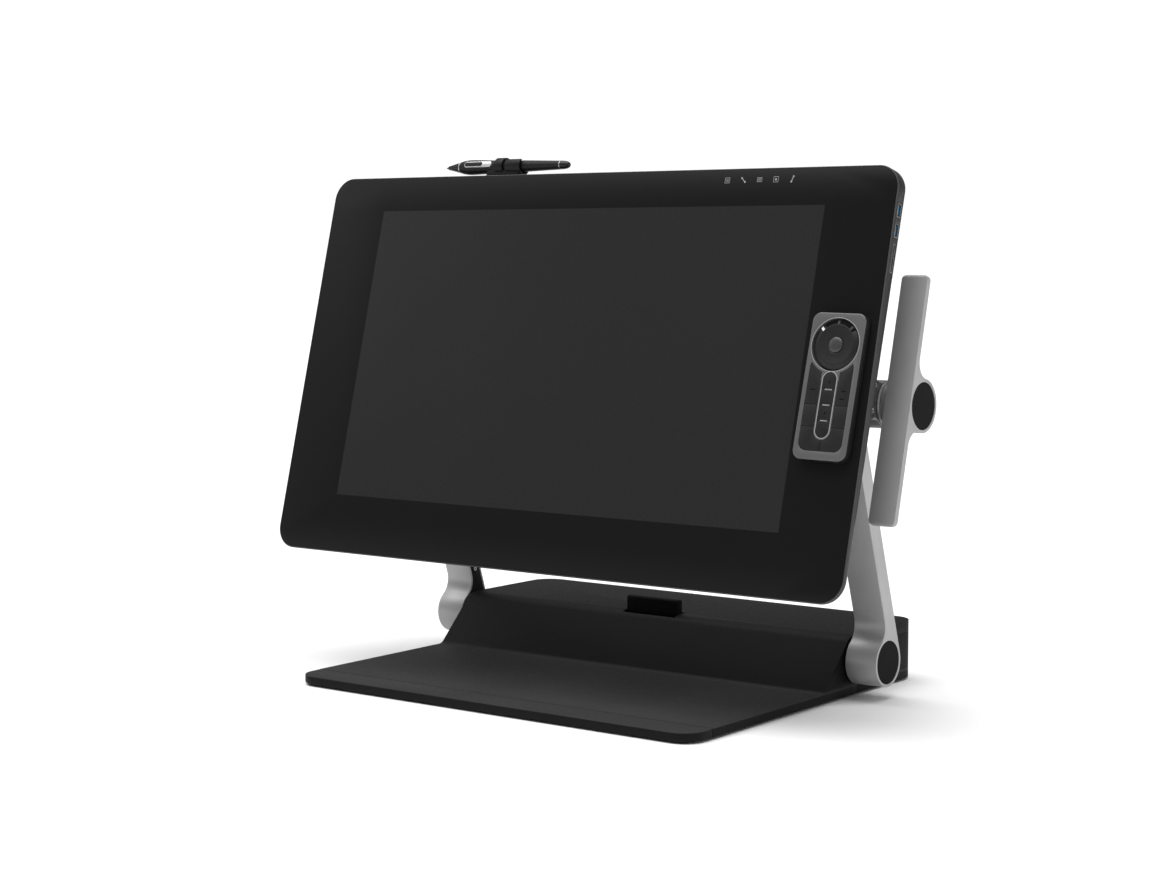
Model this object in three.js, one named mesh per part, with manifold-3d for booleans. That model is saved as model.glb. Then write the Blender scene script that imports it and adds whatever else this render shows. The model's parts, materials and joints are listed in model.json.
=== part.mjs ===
// Pen display on a two-arm folding stand, with its pen and a magnetic key remote.
// Millimetres. +Z up, the user sits on the -Y side, +X is the user's right.
// The origin is on the table, under the middle of the base's footprint.

import * as THREE from 'three';
import { mergeVertices } from 'three/addons/utils/BufferGeometryUtils.js';
import Module from 'manifold-3d';

const wasm = await Module();
wasm.setup();

const degrees = Math.PI / 180;
const GAP = 0.3;
const CUT = 1;
const far = 400;
const overlap = 0.1;

// ---- Driving dimensions ----

const base = {
  width: 464, depth: 397, corner: 22, wall: 3,
  skirtZ: 2, plateTop: 10, deckTop: 58.7, crestRadius: 20,
  rampFootY: 19.5, grooveY: -164.3, seamY: 82.4, seamZ: 47,
};
const weight = { z0: 1.6, z1: 6.4, inset: 4 };
const foot = { width: 390, depth: 16, height: 1.3, frontY: -172, rearY: 168 };
const outlet = { width: 84, z0: 16, z1: 34 };

const lowerPivot = { y: 78.5, z: 35.7 };
const arm = {
  length: 261.5, lean: 18.16 * degrees, hubRadius: 23.3, stripFront: 5.3, fillet: 20,
  inner: 234.5, outer: 267.5, wall: 2.5, pocketEnd: 263, capRadius: 20.5, capDepth: 2.2,
};
const armCover = { x0: 234.8, x1: 239.7 };
const shaft = { lowerRadius: 9, upperRadius: 8, clearance: 0.5, caseHole: 12 };
const crank = { radius: 15, x0: 252, x1: 257 };
const rod = { x0: 245.5, x1: 250.5, front: 11, rear: 17.6, end: 14 };
const spring = { x0: 120, x1: 196, coilRadius: 13.2, wire: 1.5, turns: 5, steps: 45 };
const bracketEar = {
  x: 205, thickness: 8, front: 54, rear: 108, top: 53, frontCut: 20, rearCut: 12,
  footReach: 30, footThick: 4,
};
const latch = { width: 62, front: 73.3, rear: 82.3, z0: 50, z1: 72.7, corner: 2, bevel: 0.8 };
const latchSlot = { width: 63.4, front: 67.5, rear: 88.8 };

const tilt = 14.61 * degrees;
const panelCentre = { y: -73.2, z: 307.7 };
// The side wall is deeper at the top than at the bottom, and backDepth is where the frame ends.
const panel = {
  width: 664.7, height: 387.5, corner: 22, sideTop: 13.5, sideBottom: 4.5, chamfer: 9,
  backDepth: 16.5, depth: 47,
};
const glass = { width: 662.1, height: 384.9, corner: 20.7, thickness: 3 };
const screen = { width: 545, height: 318, centreV: 11.2, z0: -14, z1: -3.6 };
const board = {
  width: 230, height: 110, v: -62, z0: -22.5, z1: -20.9, chipHalf: 22, chipHeight: 6,
};
const rearRings = [
  { z: -47, width: 470, height: 232, corner: 34 },
  { z: -34, width: 580, height: 308, corner: 28 },
  { z: -24, width: 632, height: 355, corner: 22 },
];
const rearWall = 3.2;
const holeReach = 60;
const hole = { radius: 62, top: 30 };
const vent = { count: 9, pitch: 34, width: 4, height: 26, v: 88, top: 40 };
const lipRound = 1.2;

const pivotV = -5.04;
const pivotW = -73.86;
const crossbar = { radius: 18, halfLength: 232 };
const swivel = { ringOuter: 60, ringInner: 50, z0: -49.7, z1: -40.8, flange: 75 };
const yokePlate = { size: 150, corner: 14, z0: -54.5, z1: -50, saddleWidth: 120, saddleHeight: 50 };

const lever = {
  inner: 319.5, outer: 345, sleeve: 312.3, hubRadius: 24, sleeveRadius: 20.5, fillet: 15,
  down: -111.5, up: 113, thickness: 6.3, capRadius: 21.2, capDepth: 2.2, shaftEnd: 341,
};
const brake = {
  x0: 268, x1: 309.5, ringEnd: 312, radius: 21.5,
  blockInner: 291, blockHalf: 17, blockFront: 21.3,
};

const port = { depth: 20, wall: 0.8, w: -7.6 };
const usbSocket = { height: 12.4, thickness: 6.8, upperV: 154.2, lowerV: 136 };
const cardSocket = { height: 26, thickness: 4.2, v: 111.5 };

const remote = {
  u: 297, v: -7.5, turn: -1 * degrees, width: 53, height: 130, thickness: 10, corner: 8,
  floor: 7, dialY: 36.8, dialRadius: 23.5, buttonRadius: 6.8, rimRadius: 26,
};
const pill = { halfWidth: 6.7, bottom: -45.6, top: 12.4, rim: 1.8, barHalf: 3.6, barThick: 1.3 };
const pillBars = [-3, -16.7, -30.5];
const keyField = { halfWidth: 21.8, bottom: -57.4, top: 24, corner: 8, bridgeHalf: 9 };
const keySeams = [-16.6, -36.1];
const key = { seam: 0.2, bottom: 8, top: 10.2 };

const pen = { tipU: -194, v: 206, w: -10, length: 156.5, spin: -110 * degrees };
const penLoop = { u0: -127, u1: -117, inner: 7.1, outer: 8.7 };
const penCradle = { u0: -113, u1: -95, top: 5.5 };
const penFoot = { u0: -138, u1: -92, drop: 4, halfWidth: 5.5 };
const penSwitch = { s0: 34, s1: 64, halfWidth: 3, bottom: 4.2, top: 7.9, pocket: 3 };

// ---- Finishes ----

const finish = (colour, roughness, metalness) => ({ colour, roughness, metalness });
const matteBlack = finish(0x25272a, 0.6, 0);
const softBlack = finish(0x1b1c1e, 0.8, 0);
const satinSilver = finish(0xc4c7c9, 0.38, 0.85);
const darkSteel = finish(0x6b7075, 0.45, 0.9);
const glossGlass = finish(0x1d2023, 0.12, 0);
const boardGreen = finish(0x2c5a3c, 0.6, 0.1);
const socketBlue = finish(0x2f5f9e, 0.5, 0.1);

// ---- Solids ----

function solidOf(geometry) {
  const bare = geometry.clone();
  bare.deleteAttribute('normal');
  bare.deleteAttribute('uv');
  const merged = mergeVertices(bare, 1e-4);
  const vertProperties = new Float32Array(merged.attributes.position.array);
  const triVerts = new Uint32Array(merged.index.array);
  return new wasm.Manifold(new wasm.Mesh({ numProp: 3, vertProperties, triVerts }));
}

function geometryOf(solid, mirrored = false) {
  const mesh = solid.getMesh();
  const positions = Float32Array.from(mesh.vertProperties);
  const indices = Array.from(mesh.triVerts);
  if (mirrored) {
    for (let i = 0; i < positions.length; i += 3) positions[i] *= -1;
    for (let i = 0; i < indices.length; i += 3) {
      [indices[i + 1], indices[i + 2]] = [indices[i + 2], indices[i + 1]];
    }
  }
  const geometry = new THREE.BufferGeometry();
  geometry.setAttribute('position', new THREE.BufferAttribute(positions, 3));
  geometry.setIndex(indices);
  geometry.computeVertexNormals();
  return geometry;
}

function addPiece(group, name, solid, look, mirrored = false) {
  const material = new THREE.MeshStandardMaterial({
    color: look.colour, roughness: look.roughness, metalness: look.metalness,
  });
  const mesh = new THREE.Mesh(geometryOf(solid, mirrored), material);
  mesh.name = name;
  group.add(mesh);
}

function addPair(group, name, solid, look) {
  addPiece(group, `${name}_right`, solid, look);
  addPiece(group, `${name}_left`, solid, look, true);
}

function box(x0, x1, y0, y1, z0, z1) {
  const geometry = new THREE.BoxGeometry(x1 - x0, y1 - y0, z1 - z0);
  geometry.translate((x0 + x1) / 2, (y0 + y1) / 2, (z0 + z1) / 2);
  return solidOf(geometry);
}

function roundedRect(width, height, corner, cx = 0, cy = 0) {
  const x = width / 2 - corner;
  const y = height / 2 - corner;
  const shape = new THREE.Shape();
  shape.absarc(cx + x, cy - y, corner, -90 * degrees, 0, false);
  shape.absarc(cx + x, cy + y, corner, 0, 90 * degrees, false);
  shape.absarc(cx - x, cy + y, corner, 90 * degrees, 180 * degrees, false);
  shape.absarc(cx - x, cy - y, corner, 180 * degrees, 270 * degrees, false);
  shape.closePath();
  return shape;
}

function circle(radius, cx = 0, cy = 0) {
  const shape = new THREE.Shape();
  shape.absarc(cx, cy, radius, 0, 360 * degrees, false);
  return shape;
}

// Extrudes a shape from z0 to z1. The bevel stays inside the outline.
function upright(shape, z0, z1, curveSegments = 4, bevel = 0) {
  const geometry = new THREE.ExtrudeGeometry(shape, {
    depth: z1 - z0 - 2 * bevel, curveSegments, steps: 1,
    bevelEnabled: bevel > 0, bevelThickness: bevel, bevelSize: bevel, bevelOffset: -bevel,
    bevelSegments: 1,
  });
  geometry.translate(0, 0, z0 + bevel);
  return solidOf(geometry);
}

// Turns a shape's x to +Y and its y to +Z, and extrudes it along +X from x0 to x1.
const sideways = new THREE.Matrix4().makeBasis(
  new THREE.Vector3(0, 1, 0), new THREE.Vector3(0, 0, 1), new THREE.Vector3(1, 0, 0),
);

function across(shape, x0, x1, curveSegments = 6, bevel = 0) {
  const geometry = new THREE.ExtrudeGeometry(shape, {
    depth: x1 - x0 - 2 * bevel, curveSegments, steps: 1,
    bevelEnabled: bevel > 0, bevelThickness: bevel, bevelSize: bevel, bevelOffset: -bevel,
    bevelSegments: 1,
  });
  geometry.translate(0, 0, x0 + bevel);
  geometry.applyMatrix4(sideways);
  return solidOf(geometry);
}

function rodAcross(radius, x0, x1, y = 0, z = 0, sides = 24) {
  const geometry = new THREE.CylinderGeometry(radius, radius, x1 - x0, sides);
  geometry.rotateZ(90 * degrees);
  geometry.translate((x0 + x1) / 2, y, z);
  return solidOf(geometry);
}

// A cutter across the whole object.
function boreAcross(radius, y, z) {
  return rodAcross(radius, -far, far, y, z);
}

// A solid of revolution about Z, from [radius, z] pairs that start and end on the axis.
function turned(profile, sides = 20) {
  const points = profile.map(([radius, z]) => new THREE.Vector2(radius, z));
  const geometry = new THREE.LatheGeometry(points, sides);
  geometry.rotateX(90 * degrees);
  return solidOf(geometry);
}

// A closed skin through rounded rectangles at rising z. A ring can slope along y.
function loft(rings, segments = 3) {
  const outlines = rings.map((ring) => {
    const points = roundedRect(ring.width, ring.height, ring.corner).getPoints(segments);
    if (points[0].distanceTo(points[points.length - 1]) < 1e-6) points.pop();
    return points.map((point) => [point.x, point.y, ring.z + (ring.slope ?? 0) * point.y]);
  });
  const count = outlines[0].length;
  const last = (outlines.length - 1) * count;
  const indices = [];
  for (let level = 0; level < outlines.length - 1; level += 1) {
    for (let i = 0; i < count; i += 1) {
      const a = level * count + i;
      const b = level * count + ((i + 1) % count);
      indices.push(a, b, b + count, a, b + count, a + count);
    }
  }
  for (let i = 1; i < count - 1; i += 1) {
    indices.push(0, i + 1, i, last, last + i, last + i + 1);
  }
  const geometry = new THREE.BufferGeometry();
  geometry.setAttribute('position', new THREE.Float32BufferAttribute(outlines.flat(2), 3));
  geometry.setIndex(indices);
  return solidOf(geometry);
}

// ---- Base ----

const halfWidth = base.width / 2;
const halfDepth = base.depth / 2;

// The side outline of the plate, ramp and deck, set in by a wall.
function baseSide(inset) {
  const rise = base.deckTop - base.plateTop;
  const rampTopY = base.rampFootY + rise + inset * Math.SQRT2 - inset;
  const tangent = (base.crestRadius - inset) * Math.tan(22.5 * degrees);
  const deckZ = base.deckTop - inset;
  const shape = new THREE.Shape();
  shape.moveTo(-halfDepth + inset, inset ? -CUT : base.skirtZ);
  shape.lineTo(-halfDepth + inset, base.plateTop - inset);
  shape.lineTo(base.rampFootY + inset * Math.tan(22.5 * degrees), base.plateTop - inset);
  shape.lineTo(rampTopY - tangent * Math.SQRT1_2, deckZ - tangent * Math.SQRT1_2);
  shape.absarc(
    rampTopY + tangent, deckZ - (base.crestRadius - inset), base.crestRadius - inset,
    135 * degrees, 90 * degrees, true,
  );
  shape.lineTo(halfDepth - inset, deckZ);
  shape.lineTo(halfDepth - inset, inset ? -CUT : base.skirtZ);
  shape.closePath();
  return shape;
}

function baseShell() {
  const outer = across(baseSide(0), -halfWidth, halfWidth)
    .intersect(upright(roundedRect(base.width, base.depth, base.corner), 0, base.deckTop + CUT));
  const inner = across(baseSide(base.wall), -halfWidth, halfWidth).intersect(upright(
    roundedRect(base.width - 2 * base.wall, base.depth - 2 * base.wall, base.corner - base.wall),
    -2 * CUT, base.deckTop + CUT,
  ));
  return outer.subtract(inner);
}

function baseCover() {
  const slotHalf = latchSlot.width / 2;
  return baseShell()
    .subtract(box(-far, far, -far, base.grooveY + GAP / 2, -CUT, far))
    .subtract(box(-far, far, base.seamY, far, -CUT, base.seamZ))
    .subtract(box(-slotHalf, slotHalf, latchSlot.front, latchSlot.rear, base.seamZ, far))
    .subtract(boreAcross(shaft.caseHole, lowerPivot.y, lowerPivot.z));
}

function frontTrim() {
  return baseShell().subtract(box(-far, far, base.grooveY - GAP / 2, far, -CUT, far));
}

function rearHousing() {
  return baseShell()
    .subtract(box(-far, far, -far, base.seamY + GAP, -CUT, far))
    .subtract(box(-far, far, -far, far, base.seamZ - GAP, far))
    .subtract(box(-outlet.width / 2, outlet.width / 2, base.seamY, far, outlet.z0, outlet.z1))
    .subtract(boreAcross(shaft.caseHole, lowerPivot.y, lowerPivot.z));
}

function baseWeight() {
  const shape = roundedRect(
    base.width - 2 * weight.inset, base.depth - 2 * weight.inset, base.corner - weight.inset,
  );
  return upright(shape, weight.z0, weight.z1);
}

function footStrip(y) {
  const shape = roundedRect(foot.width, foot.depth, foot.depth / 2 - 1, 0, y);
  return upright(shape, 0, foot.height, 3);
}

function lowerShaft() {
  const { y, z } = lowerPivot;
  return rodAcross(shaft.lowerRadius, -crank.x1, crank.x1, y, z)
    .add(rodAcross(crank.radius, crank.x0, crank.x1, y, z))
    .add(rodAcross(crank.radius, -crank.x1, -crank.x0, y, z));
}

function hingeBracket() {
  const ear = new THREE.Shape();
  ear.moveTo(bracketEar.front, weight.z1 + GAP);
  ear.lineTo(bracketEar.rear, weight.z1 + GAP);
  ear.lineTo(bracketEar.rear, bracketEar.top - bracketEar.rearCut);
  ear.lineTo(bracketEar.rear - bracketEar.rearCut, bracketEar.top);
  ear.lineTo(bracketEar.front + bracketEar.frontCut, bracketEar.top);
  ear.lineTo(bracketEar.front, bracketEar.top - bracketEar.frontCut);
  ear.closePath();
  const { x, thickness } = bracketEar;
  const bore = shaft.lowerRadius + GAP;
  const floorZ = weight.z1 + GAP;
  return across(ear, x, x + thickness)
    .add(box(
      x - bracketEar.footReach, x + CUT, bracketEar.front, bracketEar.rear,
      floorZ, floorZ + bracketEar.footThick,
    ))
    .subtract(boreAcross(bore, lowerPivot.y, lowerPivot.z));
}

class Helix extends THREE.Curve {
  getPoint(t, target = new THREE.Vector3()) {
    const angle = t * spring.turns * 360 * degrees;
    return target.set(
      spring.x0 + t * (spring.x1 - spring.x0),
      lowerPivot.y + spring.coilRadius * Math.cos(angle),
      lowerPivot.z + spring.coilRadius * Math.sin(angle),
    );
  }
}

function counterSpring() {
  return solidOf(new THREE.ExtrudeGeometry(circle(spring.wire), {
    extrudePath: new Helix(), steps: spring.steps, curveSegments: 2,
  }));
}

function latchBlock() {
  const width = latch.width;
  const shape = roundedRect(
    latch.rear - latch.front, latch.z1 - latch.z0, latch.corner,
    (latch.front + latch.rear) / 2, (latch.z0 + latch.z1) / 2,
  );
  return across(shape, -width / 2, width / 2, 2, latch.bevel);
}

// ---- Arms, drawn with the lower pivot at the origin and the arm along +Z ----

function armOutline(hubRadius, stripFront, fillet) {
  const reach = hubRadius + fillet;
  const offset = stripFront - fillet;
  const along = Math.sqrt(reach * reach - offset * offset);
  const angle = Math.atan2(along, -offset);
  const shape = new THREE.Shape();
  shape.absarc(0, arm.length, hubRadius, 0, 180 * degrees + angle, false);
  shape.absarc(offset, arm.length - along, fillet, angle, 0, true);
  shape.absarc(offset, along, fillet, 0, -angle, true);
  shape.absarc(0, 0, hubRadius, 180 * degrees - angle, 360 * degrees, false);
  shape.closePath();
  return shape;
}

function armPocketOutline(shrink) {
  const inset = arm.wall + shrink;
  return armOutline(arm.hubRadius - inset, arm.stripFront + inset, arm.fillet + inset);
}

function armShell() {
  return across(armOutline(arm.hubRadius, arm.stripFront, arm.fillet), arm.inner, arm.outer, 6)
    .subtract(across(armPocketOutline(0), arm.inner - CUT, arm.pocketEnd, 6))
    .subtract(rodAcross(arm.capRadius, arm.outer - arm.capDepth, arm.outer + CUT, 0, 0, 28))
    .subtract(boreAcross(shaft.upperRadius + shaft.clearance, 0, arm.length));
}

function armInnerCover() {
  return across(armPocketOutline(GAP), armCover.x0, armCover.x1, 6)
    .subtract(boreAcross(shaft.lowerRadius + shaft.clearance, 0, 0))
    .subtract(boreAcross(shaft.upperRadius + shaft.clearance, 0, arm.length));
}

function hubCap(radius, x0, x1, y, z) {
  return across(circle(radius, y, z), x0, x1, 12);
}

function levellingRod() {
  const width = rod.rear - rod.front;
  const length = arm.length - 2 * rod.end;
  const shape = roundedRect(
    width, length, width / 2 - 0.1, (rod.front + rod.rear) / 2, arm.length / 2,
  );
  return across(shape, rod.x0, rod.x1, 3);
}

function levelCrank() {
  return rodAcross(crank.radius, crank.x0, crank.x1, 0, arm.length)
    .subtract(boreAcross(shaft.upperRadius + shaft.clearance, 0, arm.length));
}

// ---- Tilt yoke, drawn in the display's frame: x right, y up its face, z out of the glass ----

function tiltShaft() {
  return rodAcross(shaft.upperRadius, -lever.shaftEnd, lever.shaftEnd, pivotV, pivotW);
}

function crossTube() {
  const { radius, halfLength } = crossbar;
  return rodAcross(radius, -halfLength, halfLength, pivotV, pivotW, 28)
    .subtract(boreAcross(shaft.upperRadius + GAP, pivotV, pivotW));
}

function yokeBracket() {
  const { size, corner, z0, z1, saddleWidth, saddleHeight } = yokePlate;
  const half = saddleWidth / 2;
  const low = pivotV - saddleHeight / 2;
  return upright(roundedRect(size, size, corner), z0, z1)
    .add(box(-half, half, low, low + saddleHeight, pivotW, z0 + overlap))
    .subtract(rodAcross(crossbar.radius + GAP, -far, far, pivotV, pivotW, 28));
}

function swivelRing() {
  const shape = circle(swivel.ringOuter);
  shape.holes.push(circle(swivel.ringInner));
  return upright(shape, swivel.z0, swivel.z1, 14);
}

function swivelHub() {
  const boss = swivel.ringInner - 0.5;
  const seat = swivel.z1 + GAP;
  return turned([
    [0, swivel.z0 + 1.5], [boss, swivel.z0 + 1.5], [boss, seat], [swivel.flange, seat],
    [swivel.flange, seat + 3.5], [0, seat + 3.5],
  ], 28);
}

function brakeHousing() {
  const { x0, x1, radius, blockInner, blockHalf, blockFront } = brake;
  return rodAcross(radius, x0 + GAP, x1, pivotV, pivotW, 24)
    .add(box(
      blockInner, x1, pivotV - blockHalf, pivotV + blockHalf, pivotW, pivotW + blockFront,
    ))
    .subtract(boreAcross(shaft.upperRadius + GAP, pivotV, pivotW));
}

function brakeRing() {
  return rodAcross(brake.radius, brake.x1 + GAP, brake.ringEnd, pivotV, pivotW, 24)
    .subtract(boreAcross(shaft.upperRadius + GAP, pivotV, pivotW));
}

// ---- Release levers, drawn about their own pivot ----

function leverOutline() {
  const { hubRadius, fillet, thickness, down, up } = lever;
  const back = hubRadius - thickness;
  const drop = back - fillet;
  const reach = hubRadius + fillet;
  const along = Math.sqrt(reach * reach - drop * drop);
  const angle = Math.atan2(drop, along);
  const end = 2.4;
  const shape = new THREE.Shape();
  shape.moveTo(down, hubRadius - end);
  shape.lineTo(down, back + end);
  shape.lineTo(down + end, back);
  shape.absarc(-along, drop, fillet, 90 * degrees, -angle, true);
  shape.absarc(0, 0, hubRadius, 180 * degrees - angle, 360 * degrees + angle, false);
  shape.absarc(along, drop, fillet, 180 * degrees + angle, 90 * degrees, true);
  shape.lineTo(up - end, back);
  shape.lineTo(up, back + end);
  shape.lineTo(up, hubRadius - end);
  shape.lineTo(up - end, hubRadius);
  shape.lineTo(down + end, hubRadius);
  shape.closePath();
  return shape;
}

function leverBody() {
  const { inner, outer, sleeve, sleeveRadius, capRadius, capDepth, shaftEnd } = lever;
  return across(leverOutline(), inner, outer, 6)
    .add(rodAcross(sleeveRadius, sleeve, inner + CUT, 0, 0, 24))
    .subtract(rodAcross(capRadius, outer - capDepth, outer + CUT, 0, 0, 28))
    .subtract(rodAcross(shaft.upperRadius + shaft.clearance, 0, shaftEnd + GAP));
}

// ---- Display, in its own frame ----

function displayGlass() {
  return upright(roundedRect(glass.width, glass.height, glass.corner), -glass.thickness, 0, 3);
}

function panelRing(z, inset, slope = 0) {
  const width = panel.width - 2 * inset;
  const height = panel.height - 2 * inset;
  return { z, width, height, corner: Math.max(panel.corner - inset, 18), slope };
}

function portSolid(height, thickness, v, shrink, depth) {
  const right = panel.width / 2;
  return box(
    right - depth + shrink, right + CUT,
    v - height / 2 + shrink, v + height / 2 - shrink,
    port.w - thickness / 2 + shrink, port.w + thickness / 2 - shrink,
  );
}

function displayFrame() {
  const sideMiddle = (panel.sideTop + panel.sideBottom) / 2;
  const slope = (panel.sideBottom - panel.sideTop) / panel.height;
  const outer = loft([
    panelRing(-panel.backDepth, panel.chamfer), panelRing(-sideMiddle, 0, slope),
    panelRing(-lipRound, 0), panelRing(0, lipRound / 2),
  ]);
  const pocket = roundedRect(glass.width + 2 * GAP, glass.height + 2 * GAP, glass.corner + GAP);
  const halfW = screen.width / 2 + GAP;
  const halfH = screen.height / 2 + GAP;
  const { centreV } = screen;
  const { height, thickness, upperV, lowerV } = usbSocket;
  return outer
    .subtract(upright(pocket, -glass.thickness - GAP, CUT))
    .subtract(box(-halfW, halfW, centreV - halfH, centreV + halfH, -panel.backDepth - CUT, 0))
    .subtract(portSolid(height, thickness, upperV, -GAP, port.depth))
    .subtract(portSolid(height, thickness, lowerV, -GAP, port.depth))
    .subtract(portSolid(cardSocket.height, cardSocket.thickness, cardSocket.v, -GAP, port.depth));
}

function socketLiner(height, thickness, v) {
  const right = panel.width / 2;
  return portSolid(height, thickness, v, 0, port.depth)
    .subtract(portSolid(height, thickness, v, port.wall, port.depth))
    .subtract(box(right - GAP, right + 2 * CUT, v - height, v + height, -40, 0));
}

// The same ring, set in by the wall and raised by its height.
function hollowed({ z, width, height, corner }) {
  return {
    z: z + rearWall * 0.8, corner: corner - 2,
    width: width - 2 * rearWall, height: height - 2 * rearWall,
  };
}

function rearCover() {
  const start = -panel.backDepth - GAP;
  const outer = loft([
    ...rearRings, panelRing(start, panel.chamfer + GAP),
  ]);
  const inner = loft([
    ...rearRings.map(hollowed), panelRing(start + CUT, panel.chamfer + rearWall),
  ]);
  let shell = outer.subtract(inner)
    .subtract(upright(circle(hole.radius), -holeReach, -hole.top, 14));
  const firstU = -(vent.count - 1) * vent.pitch / 2;
  for (let i = 0; i < vent.count; i += 1) {
    const slot = roundedRect(vent.width, vent.height, vent.width / 2 - 0.1,
      firstU + i * vent.pitch, vent.v);
    shell = shell.subtract(upright(slot, -holeReach, -vent.top, 1));
  }
  return shell;
}

function screenPanel() {
  const { width, height, centreV, z0, z1 } = screen;
  return box(-width / 2, width / 2, centreV - height / 2, centreV + height / 2, z0, z1);
}

function mainBoard() {
  const { width, height, v, z0, z1, chipHalf, chipHeight } = board;
  return box(-width / 2, width / 2, v - height / 2, v + height / 2, z0, z1)
    .add(box(-chipHalf, chipHalf, v - chipHalf, v + chipHalf, z0 - chipHeight, z0 + overlap));
}

function penHolder() {
  const { inner, outer, u0, u1 } = penLoop;
  const top = panel.height / 2 + GAP;
  const half = penFoot.halfWidth;
  const cradle = rodAcross(outer, penCradle.u0, penCradle.u1, pen.v, pen.w)
    .subtract(box(-far, far, pen.v + penCradle.top, far, -far, far));
  return rodAcross(outer, u0, u1, pen.v, pen.w)
    .add(cradle)
    .add(box(penFoot.u0, penFoot.u1, top, pen.v - penFoot.drop, pen.w - half, pen.w + half))
    .subtract(boreAcross(inner, pen.v, pen.w));
}

// ---- Remote, drawn about its own middle, z = 0 on the glass ----

function pillShape(grow) {
  const width = 2 * (pill.halfWidth + grow);
  const height = pill.top - pill.bottom + 2 * grow;
  return roundedRect(width, height, width / 2 - 0.05, 0, (pill.top + pill.bottom) / 2);
}

function keyRegion(grow, z0, z1) {
  const { halfWidth, bottom, top, corner, bridgeHalf } = keyField;
  const clear = remote.rimRadius - grow;
  const outline = roundedRect(
    2 * (halfWidth + grow), top - bottom + 2 * grow, corner + grow, 0, (top + bottom) / 2,
  );
  const bridge = bridgeHalf - grow;
  return upright(outline, z0, z1)
    .subtract(upright(circle(clear, 0, remote.dialY), z0 - CUT, z1 + CUT, 14))
    .subtract(upright(pillShape(pill.rim - grow), z0 - CUT, z1 + CUT, 3))
    .subtract(box(-bridge, bridge, pill.top - 8, remote.dialY, z0 - CUT, z1 + CUT));
}

function pillBar(y, grow, z0, z1) {
  const half = pill.barHalf + grow;
  return box(-half, half, y - pill.barThick / 2 - grow, y + pill.barThick / 2 + grow, z0, z1);
}

function remoteShell() {
  const { width, height, thickness, corner, floor, dialY, dialRadius } = remote;
  const top = GAP + thickness;
  let shell = upright(roundedRect(width, height, corner), GAP, top, 3, 0.8)
    .subtract(upright(circle(dialRadius, 0, dialY), floor, top + CUT, 14))
    .subtract(keyRegion(0, floor, top + CUT))
    .subtract(upright(pillShape(0), floor, top + CUT, 3));
  for (const y of pillBars) {
    shell = shell.add(pillBar(y, 0, floor - 0.5, top - 0.2));
  }
  return shell;
}

function sideKey(side, low, high) {
  const x0 = side > 0 ? key.seam : -30;
  const x1 = side > 0 ? 30 : -key.seam;
  return keyRegion(-GAP, key.bottom, key.top)
    .intersect(box(x0, x1, low + key.seam, high - key.seam, 0, 20));
}

function pillKey(low, high) {
  let solid = upright(pillShape(-GAP), key.bottom, key.top, 3)
    .intersect(box(-10, 10, low + key.seam, high - key.seam, 0, 20));
  for (const y of pillBars) {
    solid = solid.subtract(pillBar(y, GAP, 0, 20));
  }
  return solid;
}

function touchRing() {
  const { floor, dialRadius, buttonRadius, dialY } = remote;
  const bottom = floor + GAP;
  const outer = dialRadius - 0.6;
  const bore = buttonRadius + 0.5;
  const ring = turned([
    [0, bottom], [outer, bottom], [outer, bottom + 2.5], [outer - 1.2, bottom + 2.8],
    [outer - 5, bottom + 1.6], [bore + 4, bottom + 1.6], [bore, bottom + 2.4], [0, bottom + 2.4],
  ], 28).subtract(turned([[0, 0], [bore, 0], [bore, 20], [0, 20]], 24));
  return ring.translate([0, dialY, 0]);
}

function ringButton() {
  const { buttonRadius, dialY } = remote;
  return turned([
    [0, key.bottom], [buttonRadius, key.bottom], [buttonRadius, key.top - 0.2],
    [buttonRadius - 1.5, key.top + 0.3], [buttonRadius / 2, key.top + 0.7], [0, key.top + 0.8],
  ], 20).translate([0, dialY, 0]);
}

// ---- Pen, drawn from its tip along +Z ----

function penBody() {
  const body = turned([
    [0, 3], [1.6, 3], [2.6, 5], [5.6, 20], [6.6, 26], [7.5, 36], [7.2, 50], [6.3, 70],
    [5.7, 100], [5.3, 130], [5.2, 146], [4.9, 151], [4, 155], [2.4, pen.length - 0.1],
    [0, pen.length],
  ], 20);
  const { s0, s1, halfWidth, pocket } = penSwitch;
  return body
    .subtract(box(-halfWidth - GAP, halfWidth + GAP, -10, -pocket, s0 - GAP, s1 + GAP))
    .subtract(turned([[0, 0], [0.9, 0], [0.9, 9], [0, 9]], 10));
}

function penNib() {
  return turned([[0, 0], [0.3, 0.1], [0.6, 1.2], [0.6, 8], [0, 8]], 10);
}

function penSwitchPad() {
  const { s0, s1, halfWidth, bottom, top } = penSwitch;
  const shape = roundedRect(2 * halfWidth, s1 - s0, halfWidth - 0.1, 0, (s0 + s1) / 2);
  return upright(shape, bottom, top, 3, 0.6);
}

// ---- Assembly ----

const model = new THREE.Group();

addPiece(model, 'base_front_trim', frontTrim(), matteBlack);
addPiece(model, 'base_top_cover', baseCover(), matteBlack);
addPiece(model, 'base_rear_housing', rearHousing(), matteBlack);
addPiece(model, 'base_weight_plate', baseWeight(), darkSteel);
addPiece(model, 'rubber_foot_front', footStrip(foot.frontY), softBlack);
addPiece(model, 'rubber_foot_rear', footStrip(foot.rearY), softBlack);
addPiece(model, 'base_shaft', lowerShaft(), darkSteel);
addPair(model, 'hinge_bracket', hingeBracket(), darkSteel);
addPair(model, 'counter_spring', counterSpring(), darkSteel);
addPiece(model, 'base_latch', latchBlock(), softBlack);

const armGroup = new THREE.Group();
armGroup.position.set(0, lowerPivot.y, lowerPivot.z);
armGroup.rotation.x = arm.lean;
model.add(armGroup);

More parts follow.
